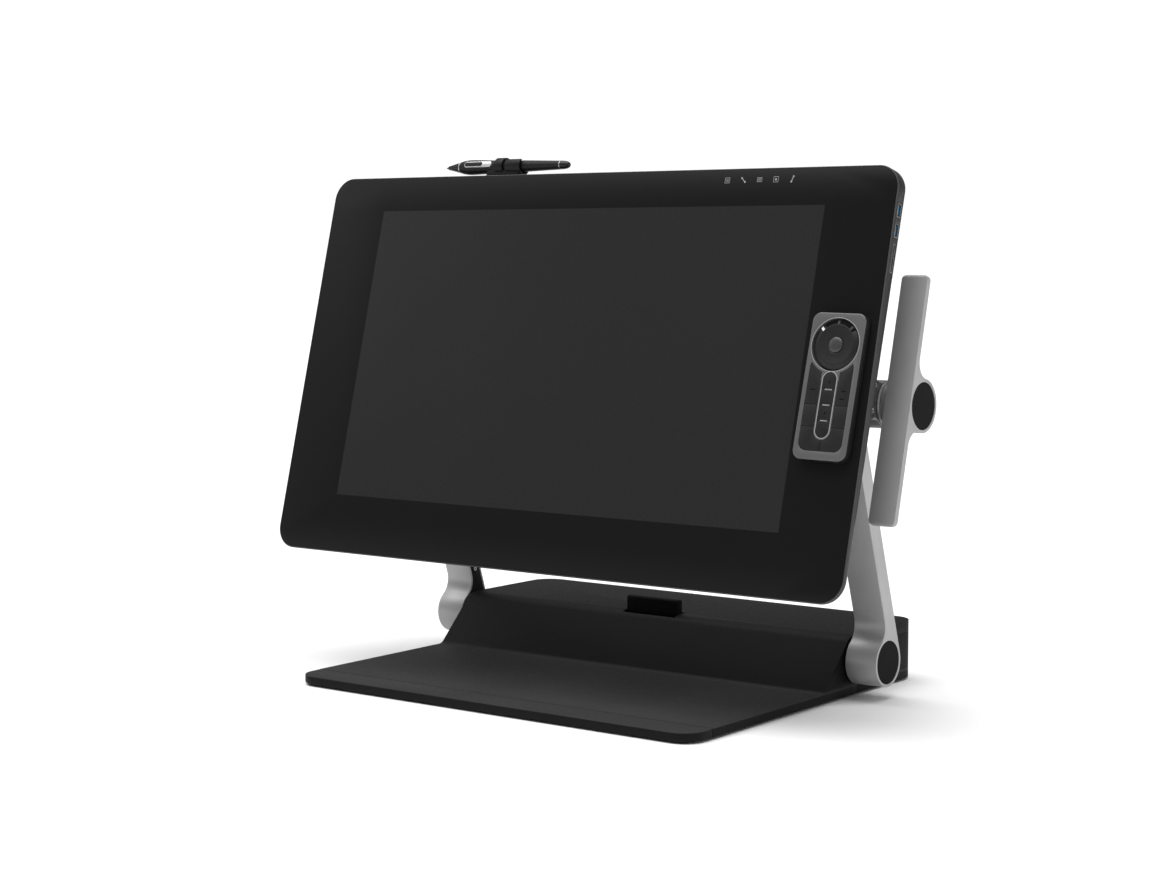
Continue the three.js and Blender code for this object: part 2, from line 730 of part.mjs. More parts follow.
const capInner = arm.outer - arm.capDepth + GAP;
const armCap = hubCap(arm.capRadius - GAP, capInner, arm.outer - 0.1, 0, 0);
addPair(armGroup, 'arm', armShell(), satinSilver);
addPair(armGroup, 'arm_inner_cover', armInnerCover(), softBlack);
addPair(armGroup, 'arm_hub_cap', armCap, softBlack);
addPair(armGroup, 'levelling_rod', levellingRod(), darkSteel);
addPair(armGroup, 'level_crank', levelCrank(), darkSteel);

const displayGroup = new THREE.Group();
displayGroup.position.set(0, panelCentre.y, panelCentre.z);
displayGroup.rotation.x = 90 * degrees - tilt;
model.add(displayGroup);

addPiece(displayGroup, 'tilt_shaft', tiltShaft(), darkSteel);
addPiece(displayGroup, 'yoke_crossbar', crossTube(), darkSteel);
addPiece(displayGroup, 'yoke_bracket', yokeBracket(), darkSteel);
addPiece(displayGroup, 'swivel_ring', swivelRing(), darkSteel);
addPair(displayGroup, 'brake_housing', brakeHousing(), satinSilver);
addPair(displayGroup, 'brake_ring', brakeRing(), satinSilver);

addPiece(displayGroup, 'display_glass', displayGlass(), glossGlass);
addPiece(displayGroup, 'display_frame', displayFrame(), matteBlack);
addPiece(displayGroup, 'display_rear_cover', rearCover(), matteBlack);
addPiece(displayGroup, 'screen_panel', screenPanel(), darkSteel);
addPiece(displayGroup, 'main_board', mainBoard(), boardGreen);
addPiece(displayGroup, 'swivel_hub', swivelHub(), darkSteel);
addPiece(displayGroup, 'pen_holder', penHolder(), softBlack);

const { height: usbHeight, thickness: usbThickness } = usbSocket;
const upperUsb = socketLiner(usbHeight, usbThickness, usbSocket.upperV);
const lowerUsb = socketLiner(usbHeight, usbThickness, usbSocket.lowerV);
const cardLiner = socketLiner(cardSocket.height, cardSocket.thickness, cardSocket.v);
addPiece(displayGroup, 'usb_socket_upper', upperUsb, socketBlue);
addPiece(displayGroup, 'usb_socket_lower', lowerUsb, socketBlue);
addPiece(displayGroup, 'card_socket', cardLiner, darkSteel);

const leverGroup = new THREE.Group();
leverGroup.position.set(0, pivotV, pivotW);
displayGroup.add(leverGroup);

const leverCapInner = lever.outer - lever.capDepth + GAP;
const leverCap = hubCap(lever.capRadius - GAP, leverCapInner, lever.outer - 0.1, 0, 0);
addPair(leverGroup, 'release_lever', leverBody(), satinSilver);
addPair(leverGroup, 'lever_hub_cap', leverCap, softBlack);

const remoteGroup = new THREE.Group();
remoteGroup.position.set(remote.u, remote.v, 0);
remoteGroup.rotation.z = remote.turn;
displayGroup.add(remoteGroup);

addPiece(remoteGroup, 'remote_shell', remoteShell(), satinSilver);
addPiece(remoteGroup, 'touch_ring', touchRing(), softBlack);
addPiece(remoteGroup, 'ring_button', ringButton(), softBlack);

const rowNames = ['upper', 'middle', 'lower'];
const rowEdges = [keyField.top, ...keySeams, keyField.bottom];
rowNames.forEach((row, i) => {
  const low = rowEdges[i + 1];
  const high = rowEdges[i];
  addPiece(remoteGroup, `side_key_${row}_left`, sideKey(-1, low, high), softBlack);
  addPiece(remoteGroup, `side_key_${row}_right`, sideKey(1, low, high), softBlack);
});

const pillEdges = [pill.top, ...pillBars, pill.bottom];
for (let i = 0; i < pillEdges.length - 1; i += 1) {
  const solid = pillKey(pillEdges[i + 1], pillEdges[i]);
  addPiece(remoteGroup, `centre_key_${i + 1}`, solid, softBlack);
}

const penGroup = new THREE.Group();
penGroup.position.set(pen.tipU, pen.v, pen.w);
penGroup.rotation.set(0, 90 * degrees, pen.spin);
displayGroup.add(penGroup);

const switchGroup = new THREE.Group();
switchGroup.rotation.x = 90 * degrees;
penGroup.add(switchGroup);

addPiece(penGroup, 'pen_body', penBody(), softBlack);
addPiece(penGroup, 'pen_nib', penNib(), softBlack);
addPiece(switchGroup, 'pen_switch', penSwitchPad(), satinSilver);

export default model;
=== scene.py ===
"""Looks of a pen display on a two-arm folding stand, with its pen and its magnetic key remote.

Lengths are in millimetres in this script and become metres when a mesh is made.
Every piece is drawn in the place that carries it: the stand, an arm, the display, a lever, the
remote or the pen.
"""
import json
from math import asin, atan2, cos, degrees, dist, pi, radians, sin, sqrt, tan

import bmesh
import bpy
from mathutils import Matrix, Vector


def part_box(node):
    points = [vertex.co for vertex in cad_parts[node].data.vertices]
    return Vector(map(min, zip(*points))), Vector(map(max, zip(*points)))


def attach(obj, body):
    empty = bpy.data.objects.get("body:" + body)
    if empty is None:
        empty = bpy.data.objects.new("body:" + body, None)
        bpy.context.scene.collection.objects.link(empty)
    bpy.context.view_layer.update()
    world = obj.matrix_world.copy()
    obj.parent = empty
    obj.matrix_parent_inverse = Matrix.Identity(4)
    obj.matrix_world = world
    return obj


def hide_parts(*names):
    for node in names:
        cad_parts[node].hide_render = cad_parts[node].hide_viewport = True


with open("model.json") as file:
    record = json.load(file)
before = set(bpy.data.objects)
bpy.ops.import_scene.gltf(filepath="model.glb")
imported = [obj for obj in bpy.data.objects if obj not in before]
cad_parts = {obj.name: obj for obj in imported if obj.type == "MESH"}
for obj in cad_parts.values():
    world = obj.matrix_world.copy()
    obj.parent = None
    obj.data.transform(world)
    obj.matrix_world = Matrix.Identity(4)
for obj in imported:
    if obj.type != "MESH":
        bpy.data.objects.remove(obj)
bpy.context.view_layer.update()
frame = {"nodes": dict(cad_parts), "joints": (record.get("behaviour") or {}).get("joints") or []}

MM = 0.001
GAP = 0.3
SHARP = radians(28)


def shift(x, y, z):
    return Matrix.Translation((x, y, z))


def spin(angle, axis):
    return Matrix.Rotation(angle, 4, axis)


# ---- Driving sizes, in millimetres, from the frame where it has them ----


def size_of(node):
    low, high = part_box(node)
    return [(b - a) / MM for a, b in zip(low, high)]


def low_of(node):
    return [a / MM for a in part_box(node)[0]]


def high_of(node):
    return [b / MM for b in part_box(node)[1]]


JOINTS = {joint["name"]: joint for joint in frame["joints"]}
LOWER_PIVOT = [value / MM for value in JOINTS["arm_swing"]["pos_m"]]
UPPER_PIVOT = [value / MM for value in JOINTS["display_tilt"]["pos_m"]]
NORMAL = Vector(JOINTS["display_turn"]["axis"])
TILT = asin(NORMAL.z)

BASE_WIDTH, BASE_DEPTH = size_of("base_top_cover")[0], high_of("base_top_cover")[1] * 2
DECK_TOP = high_of("base_top_cover")[2]
PLATE_TOP, SKIRT = high_of("base_front_trim")[2], low_of("base_front_trim")[2]
BASE_CORNER, BASE_WALL, CREST_RADIUS, RAMP_FOOT_Y = 22, 3, 20, 19.5
GROOVE_Y = high_of("base_front_trim")[1]
SEAM_Y, SEAM_Z = low_of("base_rear_housing")[1], high_of("base_rear_housing")[2]

ARM_LENGTH = dist(LOWER_PIVOT, UPPER_PIVOT)
ARM_LEAN = atan2(LOWER_PIVOT[1] - UPPER_PIVOT[1], UPPER_PIVOT[2] - LOWER_PIVOT[2])
ARM_HUB, ARM_STRIP_FRONT, ARM_FILLET = 23.3, 5.3, 20
ARM_INNER, ARM_OUTER = low_of("arm_right")[0], high_of("arm_right")[0]
ARM_COVER_INNER = low_of("arm_inner_cover_right")[0]
ARM_COVER_OUTER = high_of("arm_inner_cover_right")[0]
ARM_WALL = 2.5
CAP_DEPTH = 2.2

PANEL_CENTRE = (0, -73.2, 307.7)
PANEL_WIDTH, PANEL_HEIGHT, PANEL_CORNER = size_of("display_frame")[0], 387.5, 22
SIDE_TOP, SIDE_BOTTOM, SIDE_CHAMFER, BACK_DEPTH, PANEL_DEPTH = 13.5, 4.5, 9, 16.5, 47
GLASS_WIDTH, GLASS_HEIGHT, GLASS_CORNER, GLASS_THICK = size_of("display_glass")[0], 384.9, 20.7, 3
PICTURE_WIDTH, PICTURE_HEIGHT, PICTURE_UP = 522, 294, 11.2

PIVOT_V, PIVOT_W = -5.04, -73.86
LEVER_INNER, LEVER_OUTER = 319.5, high_of("release_lever_right")[0]
LEVER_HUB, LEVER_THICK, LEVER_DOWN, LEVER_UP = 24, 6.3, -111.5, 113
BRAKE_RADIUS, LEVER_COLLAR = 21.5, 20.5

REMOTE_U, REMOTE_V, REMOTE_TURN = 297, -6.5, radians(-1)
PEN_TIP_U, PEN_V, PEN_W, PEN_SPIN = -195, 205, -10, radians(-98)

STAND = Matrix.Identity(4)
ARM = shift(*LOWER_PIVOT) @ spin(ARM_LEAN, "X")
DISPLAY = shift(*PANEL_CENTRE) @ spin(pi / 2 - TILT, "X")
LEVER = DISPLAY @ shift(0, PIVOT_V, PIVOT_W)
REMOTE = DISPLAY @ shift(REMOTE_U, REMOTE_V, 0) @ spin(REMOTE_TURN, "Z")
PEN = DISPLAY @ shift(PEN_TIP_U, PEN_V, PEN_W) @ spin(pi / 2, "Y") @ spin(PEN_SPIN, "Z")
SIDES = {"right": Matrix.Identity(4), "left": Matrix.Scale(-1, 4, (1, 0, 0))}


# ---- Materials ----


def feed(tree, node, inputs):
    """Sets a node's inputs: a socket is linked, and anything else becomes the value."""
    for name, value in inputs.items():
        if isinstance(value, bpy.types.NodeSocket):
            tree.links.new(value, node.inputs[name])
        else:
            node.inputs[name].default_value = value


def add_node(tree, kind, inputs=()):
    node = tree.nodes.new("ShaderNode" + kind)
    feed(tree, node, dict(inputs))
    return node


def new_material(name):
    material = bpy.data.materials.new(name)
    material.use_nodes = True
    tree = material.node_tree
    place = add_node(tree, "TexCoord").outputs["Object"]
    return material, tree, tree.nodes["Principled BSDF"], place


def noise(tree, place, scale, detail=4, stretch=None):
    if stretch:
        place = add_node(tree, "Mapping", {"Vector": place, "Scale": stretch}).outputs["Vector"]
    settings = {"Vector": place, "Scale": scale, "Detail": detail}
    return add_node(tree, "TexNoise", settings).outputs["Fac"]


def ramp(tree, value, low, high, start=0.3, end=0.7):
    node = add_node(tree, "ValToRGB", {"Fac": value})
    for element, position, colour in zip(node.color_ramp.elements, (start, end), (low, high)):
        element.position = position
        element.color = (*colour, 1)
    return node.outputs["Color"]


def remap(tree, value, low, high, start=0.3, end=0.7):
    return add_node(tree, "MapRange", {
        "Value": value, "From Min": start, "From Max": end, "To Min": low, "To Max": high,
    }).outputs["Result"]


def bump(tree, shader, value, strength, distance):
    settings = {"Height": value, "Strength": strength, "Distance": distance}
    feed(tree, shader, {"Normal": add_node(tree, "Bump", settings).outputs["Normal"]})


def grey(value):
    return (value, value, value)


def worn_edges(tree, base_colour, wear_colour, amount):
    """Mixes a lighter rubbed tone into a colour where the surface is sharply convex."""
    geometry = tree.nodes.new("ShaderNodeNewGeometry")
    edge = remap(tree, geometry.outputs["Pointiness"], 0, amount, 0.52, 0.62)
    mix = tree.nodes.new("ShaderNodeMix")
    mix.data_type = "RGBA"
    tree.links.new(edge, mix.inputs["Factor"])
    tree.links.new(base_colour, mix.inputs["A"])
    mix.inputs["B"].default_value = (*wear_colour, 1)
    return mix.outputs["Result"]


def moulded(name, tone, roughness, grain=900, depth=0.00006, wear=0.25, gloss=0.5):
    """Moulded or painted surface: fine spark-eroded grain, slow tone drift and rubbed edges."""
    material, tree, shader, place = new_material(name)
    colour = ramp(tree, noise(tree, place, 9, 3), grey(tone * 0.88), grey(tone * 1.12))
    speck = noise(tree, place, grain * 0.6, 2)
    feed(tree, shader, {
        "Base Color": worn_edges(tree, colour, grey(min(1, tone * 1.8 + 0.01)), wear),
        "Roughness": remap(tree, speck, roughness - 0.06, roughness + 0.08),
        "Specular IOR Level": gloss,
    })
    bump(tree, shader, noise(tree, place, grain, 3), 0.5, depth)
    return material


def plastic_with_painted_highlight(name, tone, lift, height):
    """Moulded plastic painted lighter in a band at one height: a painted highlight standing for overhead
    light on the front plate's top face.
    """
    material = moulded(name, tone, 0.55, wear=0.03, gloss=0.1)
    tree = material.node_tree
    colour = tree.nodes["Principled BSDF"].inputs["Base Color"]
    place = add_node(tree, "TexCoord").outputs["Object"]
    z = add_node(tree, "SeparateXYZ", {"Vector": place}).outputs["Z"]
    # Painted highlight: the colour is multiplied by lift in a band around the given height, which
    # lightens the front plate's top face as if lit from above.
    above = remap(tree, z, 1, 0, height + 0.0005, height + 0.0025)
    edge = remap(tree, z, 0, lift - 1, height - 0.001, height - 0.0002)
    painted_highlight_factor = add_node(tree, "Math", {0: above, 1: edge, 2: 1})
    painted_highlight_factor.operation = "MULTIPLY_ADD"
    scale = add_node(tree, "VectorMath", {"Vector": colour.links[0].from_socket})
    scale.operation = "SCALE"
    feed(tree, scale, {"Scale": painted_highlight_factor.outputs["Value"]})
    tree.links.new(scale.outputs["Vector"], colour)
    return material


def blasted(name, tone, roughness, grain=1400, metal=1):
    """Bead-blasted, anodised aluminium with faint handling marks."""
    material, tree, shader, place = new_material(name)
    colour = ramp(tree, noise(tree, place, 14, 4), grey(tone * 0.95), grey(tone * 1.04))
    smear = noise(tree, place, 40, 5)
    feed(tree, shader, {
        "Base Color": worn_edges(tree, colour, grey(min(1, tone * 1.25)), 0.5),
        "Roughness": remap(tree, smear, roughness - 0.04, roughness + 0.06),
        "Metallic": metal,
    })
    bump(tree, shader, noise(tree, place, grain, 2), 0.35, 0.00003)
    return material


def brushed(name, tone, roughness, stretch=(1, 60, 60)):
    """Metal with fine drawn lines along one direction."""
    material, tree, shader, place = new_material(name)
    lines = noise(tree, place, 60, 6, stretch)
    feed(tree, shader, {
        "Base Color": ramp(tree, lines, grey(tone * 0.85), grey(tone * 1.1)),
        "Roughness": remap(tree, lines, roughness - 0.08, roughness + 0.1),
        "Metallic": 1,
    })
    bump(tree, shader, lines, 0.25, 0.00003)
    return material


def etched_glass(name, tone, roughness, coat):
    """Dark glass whose etched face scatters reflections."""
    material, tree, shader, place = new_material(name)
    etch = noise(tree, place, 2600, 2)
    drift = noise(tree, place, 3, 2)
    feed(tree, shader, {
        "Base Color": ramp(tree, drift, grey(tone * 0.93), grey(tone * 1.07)),
        "Roughness": remap(tree, etch, roughness - 0.03, roughness + 0.04),
        "Specular IOR Level": coat,
    })
    bump(tree, shader, etch, 0.12, 0.00002)
    return material


def painted_mark(name, tone, gloss=0.4):
    material, tree, shader, place = new_material(name)
    fleck = noise(tree, place, 2200, 2)
    feed(tree, shader, {
        "Base Color": ramp(tree, fleck, grey(tone * 0.85), grey(tone)),
        "Roughness": 0.5,
        "Specular IOR Level": gloss,
    })
    return material


def circuit(name):
    material, tree, shader, place = new_material(name)
    cells = add_node(tree, "TexVoronoi", {"Vector": place, "Scale": 160}).outputs["Distance"]
    tone = ramp(tree, cells, (0.01, 0.09, 0.04), (0.03, 0.2, 0.09), 0.1, 0.5)
    feed(tree, shader, {"Base Color": tone, "Roughness": 0.4})
    bump(tree, shader, cells, 0.3, 0.0002)
    return material


def tinted(name, low, high, roughness):
    material, tree, shader, place = new_material(name)
    colour = ramp(tree, noise(tree, place, 30, 3), low, high)
    feed(tree, shader, {"Base Color": colour, "Roughness": roughness})
    bump(tree, shader, noise(tree, place, 1500, 2), 0.3, 0.00004)
    return material


MATERIALS = {
    # The base's colour carries a painted highlight, 4.6 times lighter at the front plate's top height.
    "base_plastic": plastic_with_painted_highlight("base_plastic_painted_highlight", 0.006, 4.6, PLATE_TOP * MM),
    "latch_rubber": moulded("latch_rubber", 0.002, 0.75, grain=700, wear=0.02, gloss=0.1),
    "rubber": moulded("foot_rubber", 0.012, 0.85, grain=500),
    "arm_metal": blasted("arm_aluminium", 0.42, 0.45, metal=0.45),
    "lever_metal": blasted("lever_aluminium", 0.37, 0.5, metal=0.3),
    "brake_metal": blasted("brake_aluminium", 0.22, 0.4, metal=0.5),
    "cap_plastic": moulded("hub_cap_plastic", 0.008, 0.5, wear=0.05, gloss=0.03),
    "arm_cover": moulded("arm_cover_plastic", 0.008, 0.55, wear=0.05, gloss=0.15),
    "steel": brushed("plated_steel", 0.3, 0.38),
    "dark_steel": brushed("dark_steel", 0.1, 0.42),
    "spring_steel": brushed("spring_steel", 0.35, 0.3, (40, 40, 1)),
    "screw": brushed("screw_steel", 0.5, 0.28),
    "bezel_glass": etched_glass("bezel_glass", 0.0062, 0.3, 0.12),
    "picture_glass": etched_glass("picture_glass", 0.0175, 0.27, 0.19),
    "display_body": moulded("display_paint", 0.012, 0.42, grain=1200, wear=0.12, gloss=0.35),
    # Lighter paint for the casing's front lip: a painted highlight along the edge beside the glass.
    "lip_painted_highlight": moulded("painted_lip_highlight", 0.05, 0.4, grain=1200, gloss=0.35),
    "screen_module": brushed("screen_backing", 0.4, 0.5),
    "circuit_board": circuit("circuit_board"),
    "socket_blue": tinted("socket_blue", (0.02, 0.16, 0.3), (0.03, 0.24, 0.42), 0.35),
    "remote_silver": moulded("remote_paint", 0.095, 0.38, grain=1600, depth=0.00003, wear=0.2),
    "remote_rim": moulded("remote_rim_paint", 0.25, 0.3, grain=1600, depth=0.00003, wear=0.3),
    "remote_side": moulded("remote_side_paint", 0.008, 0.42, grain=1600, wear=0.1, gloss=0.3),
    "key_plastic": moulded("key_plastic", 0.011, 0.4, grain=1500, depth=0.00004, wear=0.15, gloss=0.3),
    "well_plastic": moulded("well_plastic", 0.003, 0.45, grain=1500, wear=0.05),
    "button_plastic": moulded("button_plastic", 0.04, 0.3, grain=1800, depth=0.00003, wear=0.1),
    "pen_grip": moulded("pen_grip", 0.006, 0.5, grain=1100, wear=0.1, gloss=0.25),
    "pen_gloss": moulded("pen_barrel", 0.006, 0.3, grain=1800, depth=0.00002, wear=0.1, gloss=0.35),
    "pen_silver": blasted("pen_silver", 0.6, 0.3, 2200, metal=0.7),
    "holder": moulded("holder_plastic", 0.004, 0.45, grain=1200, wear=0.1, gloss=0.2),
    "white_mark": painted_mark("white_mark", 0.9),
    "icon_mark": painted_mark("icon_mark", 0.34),
    "dark_mark": painted_mark("dark_mark", 0.002, 0.05),
}


# ---- Outlines ----


def arc(cx, cy, radius, start, end, steps=12):
    """Points on an arc, with its angles in degrees."""
    points = []
    for i in range(steps + 1):
        angle = radians(start + (end - start) * i / steps)
        points.append((cx + radius * cos(angle), cy + radius * sin(angle)))
    return points


def rounded(width, height, corner, cx=0, cy=0, steps=10):
    x, y = width / 2 - corner, height / 2 - corner
    points = []
    for start, dx, dy in ((-90, x, -y), (0, x, y), (90, -x, y), (180, -x, -y)):
        points += arc(cx + dx, cy + dy, corner, start, start + 90, steps)
    return points


def disc(radius, cx=0, cy=0, steps=64):
    return arc(cx, cy, radius, 0, 360, steps)[:-1]


def tidy(points):
    """Drops points that repeat their neighbour, and makes the outline run anticlockwise."""
    kept = [p for i, p in enumerate(points) if dist(p, points[i - 1]) > 1e-4]
    area = sum(a[0] * b[1] - b[0] * a[1] for a, b in zip(kept, kept[1:] + kept[:1]))
    return kept if area > 0 else kept[::-1]


# ---- Meshes ----


def new_object(name, data):
    thing = bpy.data.objects.new(name, data)
    bpy.context.scene.collection.objects.link(thing)
    return thing


def to_object(name, mesh_data, matrix):
    scaled = Matrix.Scale(MM, 4) @ matrix
    bmesh.ops.transform(mesh_data, matrix=scaled, verts=mesh_data.verts)
    if scaled.determinant() < 0:
        bmesh.ops.reverse_faces(mesh_data, faces=mesh_data.faces)
    mesh = bpy.data.meshes.new(name)
    mesh_data.to_mesh(mesh)
    mesh_data.free()
    return new_object(name, mesh)


def prism(name, outline, low, high, matrix, sideways=False):
    """Extrudes an outline from low to high, along z, or along x if sideways."""
    outline = tidy(outline)
    data = bmesh.new()
    lower, upper = ([data.verts.new((x, y, z)) for x, y in outline] for z in (low, high))
    data.faces.new(lower[::-1])
    data.faces.new(upper)
    skin(data, (lower, upper))
    if sideways:
        matrix = matrix @ Matrix(((0, 0, 1, 0), (1, 0, 0, 0), (0, 1, 0, 0), (0, 0, 0, 1)))
    return to_object(name, data, matrix)


def skin(data, rows, closed=True):
    """Bridges neighbouring rows of corners with faces; a closed row joins its own two ends."""
    count = len(rows[0])
    for a, b in zip(rows, rows[1:]):
        for i in range(count if closed else count - 1):
            j = (i + 1) % count
            data.faces.new((a[i], a[j], b[j], b[i]))


def turned(name, profile, matrix, steps=64):
    """A solid of revolution about z, from (radius, z) points: on the axis at both ends, or closed."""
    data = bmesh.new()
    rings = []
    for radius, z in profile:
        if radius < 1e-6:
            rings.append([data.verts.new((0, 0, z))])
            continue
        rings.append([
            data.verts.new((radius * cos(t), radius * sin(t), z))
            for t in (2 * pi * i / steps for i in range(steps))
        ])
    for a, b in zip(rings, rings[1:]):
        for i in range(steps):
            j = (i + 1) % steps
            corners = [a[i % len(a)], a[j % len(a)], b[j % len(b)], b[i % len(b)]]
            unique = list(dict.fromkeys(corners))
            if len(unique) > 2:
                data.faces.new(unique)
    bmesh.ops.recalc_face_normals(data, faces=data.faces)
    return to_object(name, data, matrix)


def rod(radius, length, matrix, steps, name="cutter"):
    """A plain cylinder along z, from 0 to its length."""
    return turned(name, [(0, 0), (radius, 0), (radius, length), (0, length)], matrix, steps)


def loft(name, rings, matrix):
    """A closed skin through outlines of equal length at rising z: (outline, z, slope along y)."""
    data = bmesh.new()
    levels = [
        [data.verts.new((x, y, z + slope * y)) for x, y in outline] for outline, z, slope in rings
    ]
    skin(data, levels)
    data.faces.new(levels[0][::-1])
    data.faces.new(levels[-1])
    return to_object(name, data, matrix)


def settle(piece):
    """Applies a piece's modifiers."""
    graph = bpy.context.evaluated_depsgraph_get()
    mesh = bpy.data.meshes.new_from_object(piece.evaluated_get(graph))
    piece.modifiers.clear()
    old = piece.data
    piece.data = mesh
    bpy.data.meshes.remove(old)


def combine(piece, other, operation):
    modifier = piece.modifiers.new("join", "BOOLEAN")
    modifier.operation = operation
    modifier.solver = "EXACT"
    modifier.object = other
    settle(piece)
    mesh = other.data
    bpy.data.objects.remove(other)
    bpy.data.meshes.remove(mesh)
    return piece


def cut(piece, *cutters):
    for cutter in cutters:
        combine(piece, cutter, "DIFFERENCE")
    return piece


def join(piece, *others):
    for other in others:
        combine(piece, other, "UNION")
    return piece


def soften(piece, width, segments=3, angle=30):
    """Rounds the edges that are sharper than an angle, width in millimetres."""
    modifier = piece.modifiers.new("edge", "BEVEL")
    modifier.width = width * MM
    modifier.segments = segments
    modifier.limit_method = "ANGLE"
    modifier.angle_limit = radians(angle)
    modifier.use_clamp_overlap = True
    modifier.harden_normals = False
    settle(piece)
    return piece


def dress(piece, look, body, slot, *replaced):
    """Gives a piece its material and body, and hides the CAD nodes that it stands for."""
    mesh = piece.data
    mesh.materials.clear()
    mesh.materials.append(MATERIALS[look])
    for polygon in mesh.polygons:
        polygon.use_smooth = True
    mesh.set_sharp_from_angle(angle=SHARP)
    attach(piece, body)
    if replaced:
        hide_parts(*replaced)


def add_look(piece, matrix, look, wanted):
    """Gives one more material to the faces that wanted picks, by their centre and normal."""
    to_place = (Matrix.Scale(MM, 4) @ matrix).inverted()
    piece.data.materials.append(MATERIALS[look])
    for face in piece.data.polygons:
        normal = (to_place.to_3x3() @ face.normal).normalized()
        if wanted(to_place @ face.center, normal):
            face.material_index = len(piece.data.materials) - 1


def along_x(x):
    """Turns a piece's z axis to +X and moves it to x."""
    return shift(x, 0, 0) @ spin(pi / 2, "Y")


def block(x0, x1, y0, y1, z0, z1, matrix=STAND, name="cutter"):
    return prism(name, [(x0, y0), (x1, y0), (x1, y1), (x0, y1)], z0, z1, matrix)


def socket_screw(name, matrix, radius, body, height=0.8):
    """A small screw head with a hexagonal socket, its face towards +z."""
    head = turned(name, [(0, -0.6), (radius, -0.6), (radius, height - 0.3),
                         (radius - 0.3, height), (0, height)], matrix, 32)
    cut(head, prism("recess", disc(radius * 0.5, steps=6), height - 0.6, height + 1, matrix))
    dress(head, "screw", body, "steel")


# ---- Base ----


def base_side(inset):
    rise = DECK_TOP - PLATE_TOP
    slope = tan(radians(22.5))
    deck = DECK_TOP - inset
    plate = PLATE_TOP - inset
    crest = CREST_RADIUS - inset
    ramp_top = RAMP_FOOT_Y + rise + inset * sqrt(2) - inset
    foot = RAMP_FOOT_Y + inset * slope
    rest = BASE_DEPTH / 2 - inset
    bottom = -5 if inset else SKIRT
    foot_radius = 9
    foot_reach = foot_radius * slope
    return (
        [(-rest, bottom), (-rest, plate)]
        + arc(foot - foot_reach, plate + foot_radius, foot_radius, 270, 315, 6)
        + arc(ramp_top + crest * slope, deck - crest, crest, 135, 90, 12)
        + [(rest, deck), (rest, bottom)]
    )


def base_shell(name):
    plans = []
    for inset, low in ((0, 0), (BASE_WALL, -10)):
        half, corner = BASE_WIDTH / 2 - inset, BASE_CORNER - inset
        solid = prism(name, base_side(inset), -half, half, STAND, sideways=True)
        plan = rounded(2 * half, BASE_DEPTH - 2 * inset, corner, steps=14)
        plans.append(combine(solid, prism("plan", plan, low, 100, STAND), "INTERSECT"))
    return cut(*plans)


def shaft_hole():
    return rod(12, 600, shift(*LOWER_PIVOT) @ along_x(-300), 48)


def make_base():
    far, under, over = 400, -10, 100

    def shell(name, node, edge, *cutters):
        piece = cut(base_shell(name), *cutters)
        dress(soften(piece, edge), "base_plastic", "base", "base_plastic", node)

    slot_half = size_of("base_latch")[0] / 2 + 0.7
    latch_front, latch_rear = low_of("base_latch")[1], high_of("base_latch")[1]
    shell(
        "base_cover_skin", "base_top_cover", 0.9,
        block(-far, far, -far, GROOVE_Y + GAP, under, over),
        block(-far, far, SEAM_Y - GAP, far, under, SEAM_Z + GAP),
        block(-slot_half, slot_half, latch_front - 5.8, latch_rear + 6.5, SEAM_Z, 90),
        shaft_hole(),
    )
    shell("base_front_strip", "base_front_trim", 0.9,
          block(-far, far, GROOVE_Y, far, under, over))
    outlet_half, outlet_front, outlet_low, outlet_high = 42, 150, 16, 34
    shell(
        "base_rear_skin", "base_rear_housing", 0.7,
        block(-far, far, -far, SEAM_Y, under, over),
        block(-far, far, -far, far, SEAM_Z, over),
        block(-outlet_half, outlet_half, outlet_front, far, outlet_low, outlet_high),
        shaft_hole(),
    )

    width, depth, height = size_of("base_latch")
    low = low_of("base_latch")
    outline = rounded(depth, height, 2.2, low[1] + depth / 2, low[2] + height / 2, 8)
    latch = prism("latch_block", outline, -width / 2, width / 2, STAND, sideways=True)
    dress(soften(latch, 1, 3, 40), "latch_rubber", "latch", "rubber", "base_latch")

    deck_dots, dot_radius, sunk, proud = ((-10, 154), (2, 153)), 1.6, 0.3, 0.05
    for i, (x, y) in enumerate(deck_dots):
        place = shift(x, y, DECK_TOP - sunk)
        dot = rod(dot_radius, sunk + proud, place, 24, f"deck_dot_{i + 1}")
        dress(dot, "dark_mark", "base", "base_plastic")
    dash = block(20, 33, 152.4, 153.2, DECK_TOP - sunk, DECK_TOP + proud, STAND, "deck_dash")
    dress(dash, "dark_mark", "base", "base_plastic")

    grooves, pitch, first, groove = 12, 31, 14, 2
    for name in ("rubber_foot_front", "rubber_foot_rear"):
        wide, deep, high = size_of(name)
        near = low_of(name)[1]
        outline = rounded(wide, deep, deep / 2 - 0.5, 0, near + deep / 2)
        strip = prism(name + "_strip", outline, 0, high, STAND)
        for i in range(grooves):
            x = pitch * i - wide / 2 + first
            cut(strip, block(x, x + groove, near + 3, near + deep - 3, -1, 0.4))
        dress(soften(strip, 0.3, 2), "rubber", "base", "rubber", name)


# ---- Arms ----


def arm_outline(hub, front, fillet, steps=24):
    reach, offset = hub + fillet, front - fillet
    along = sqrt(reach * reach - offset * offset)
    angle = degrees(atan2(along, -offset))
    return (
        arc(0, ARM_LENGTH, hub, 0, 180 + angle, 2 * steps)
        + arc(offset, ARM_LENGTH - along, fillet, angle, 0, steps)
        + arc(offset, along, fillet, 0, -angle, steps)
        + arc(0, 0, hub, 180 - angle, 360, 2 * steps)
    )


def hub_cap(name, radius, face, matrix):
    """A slightly domed disc, set just under an outer face."""
    start = face - CAP_DEPTH + GAP
    depth = face - 0.1 - start
    profile = [(0, 0), (radius, 0), (radius, depth - 0.5), (radius - 0.15, depth - 0.2),
               (radius - 0.5, depth), (0, depth)]
    return turned(name, profile, matrix @ along_x(start), 96)


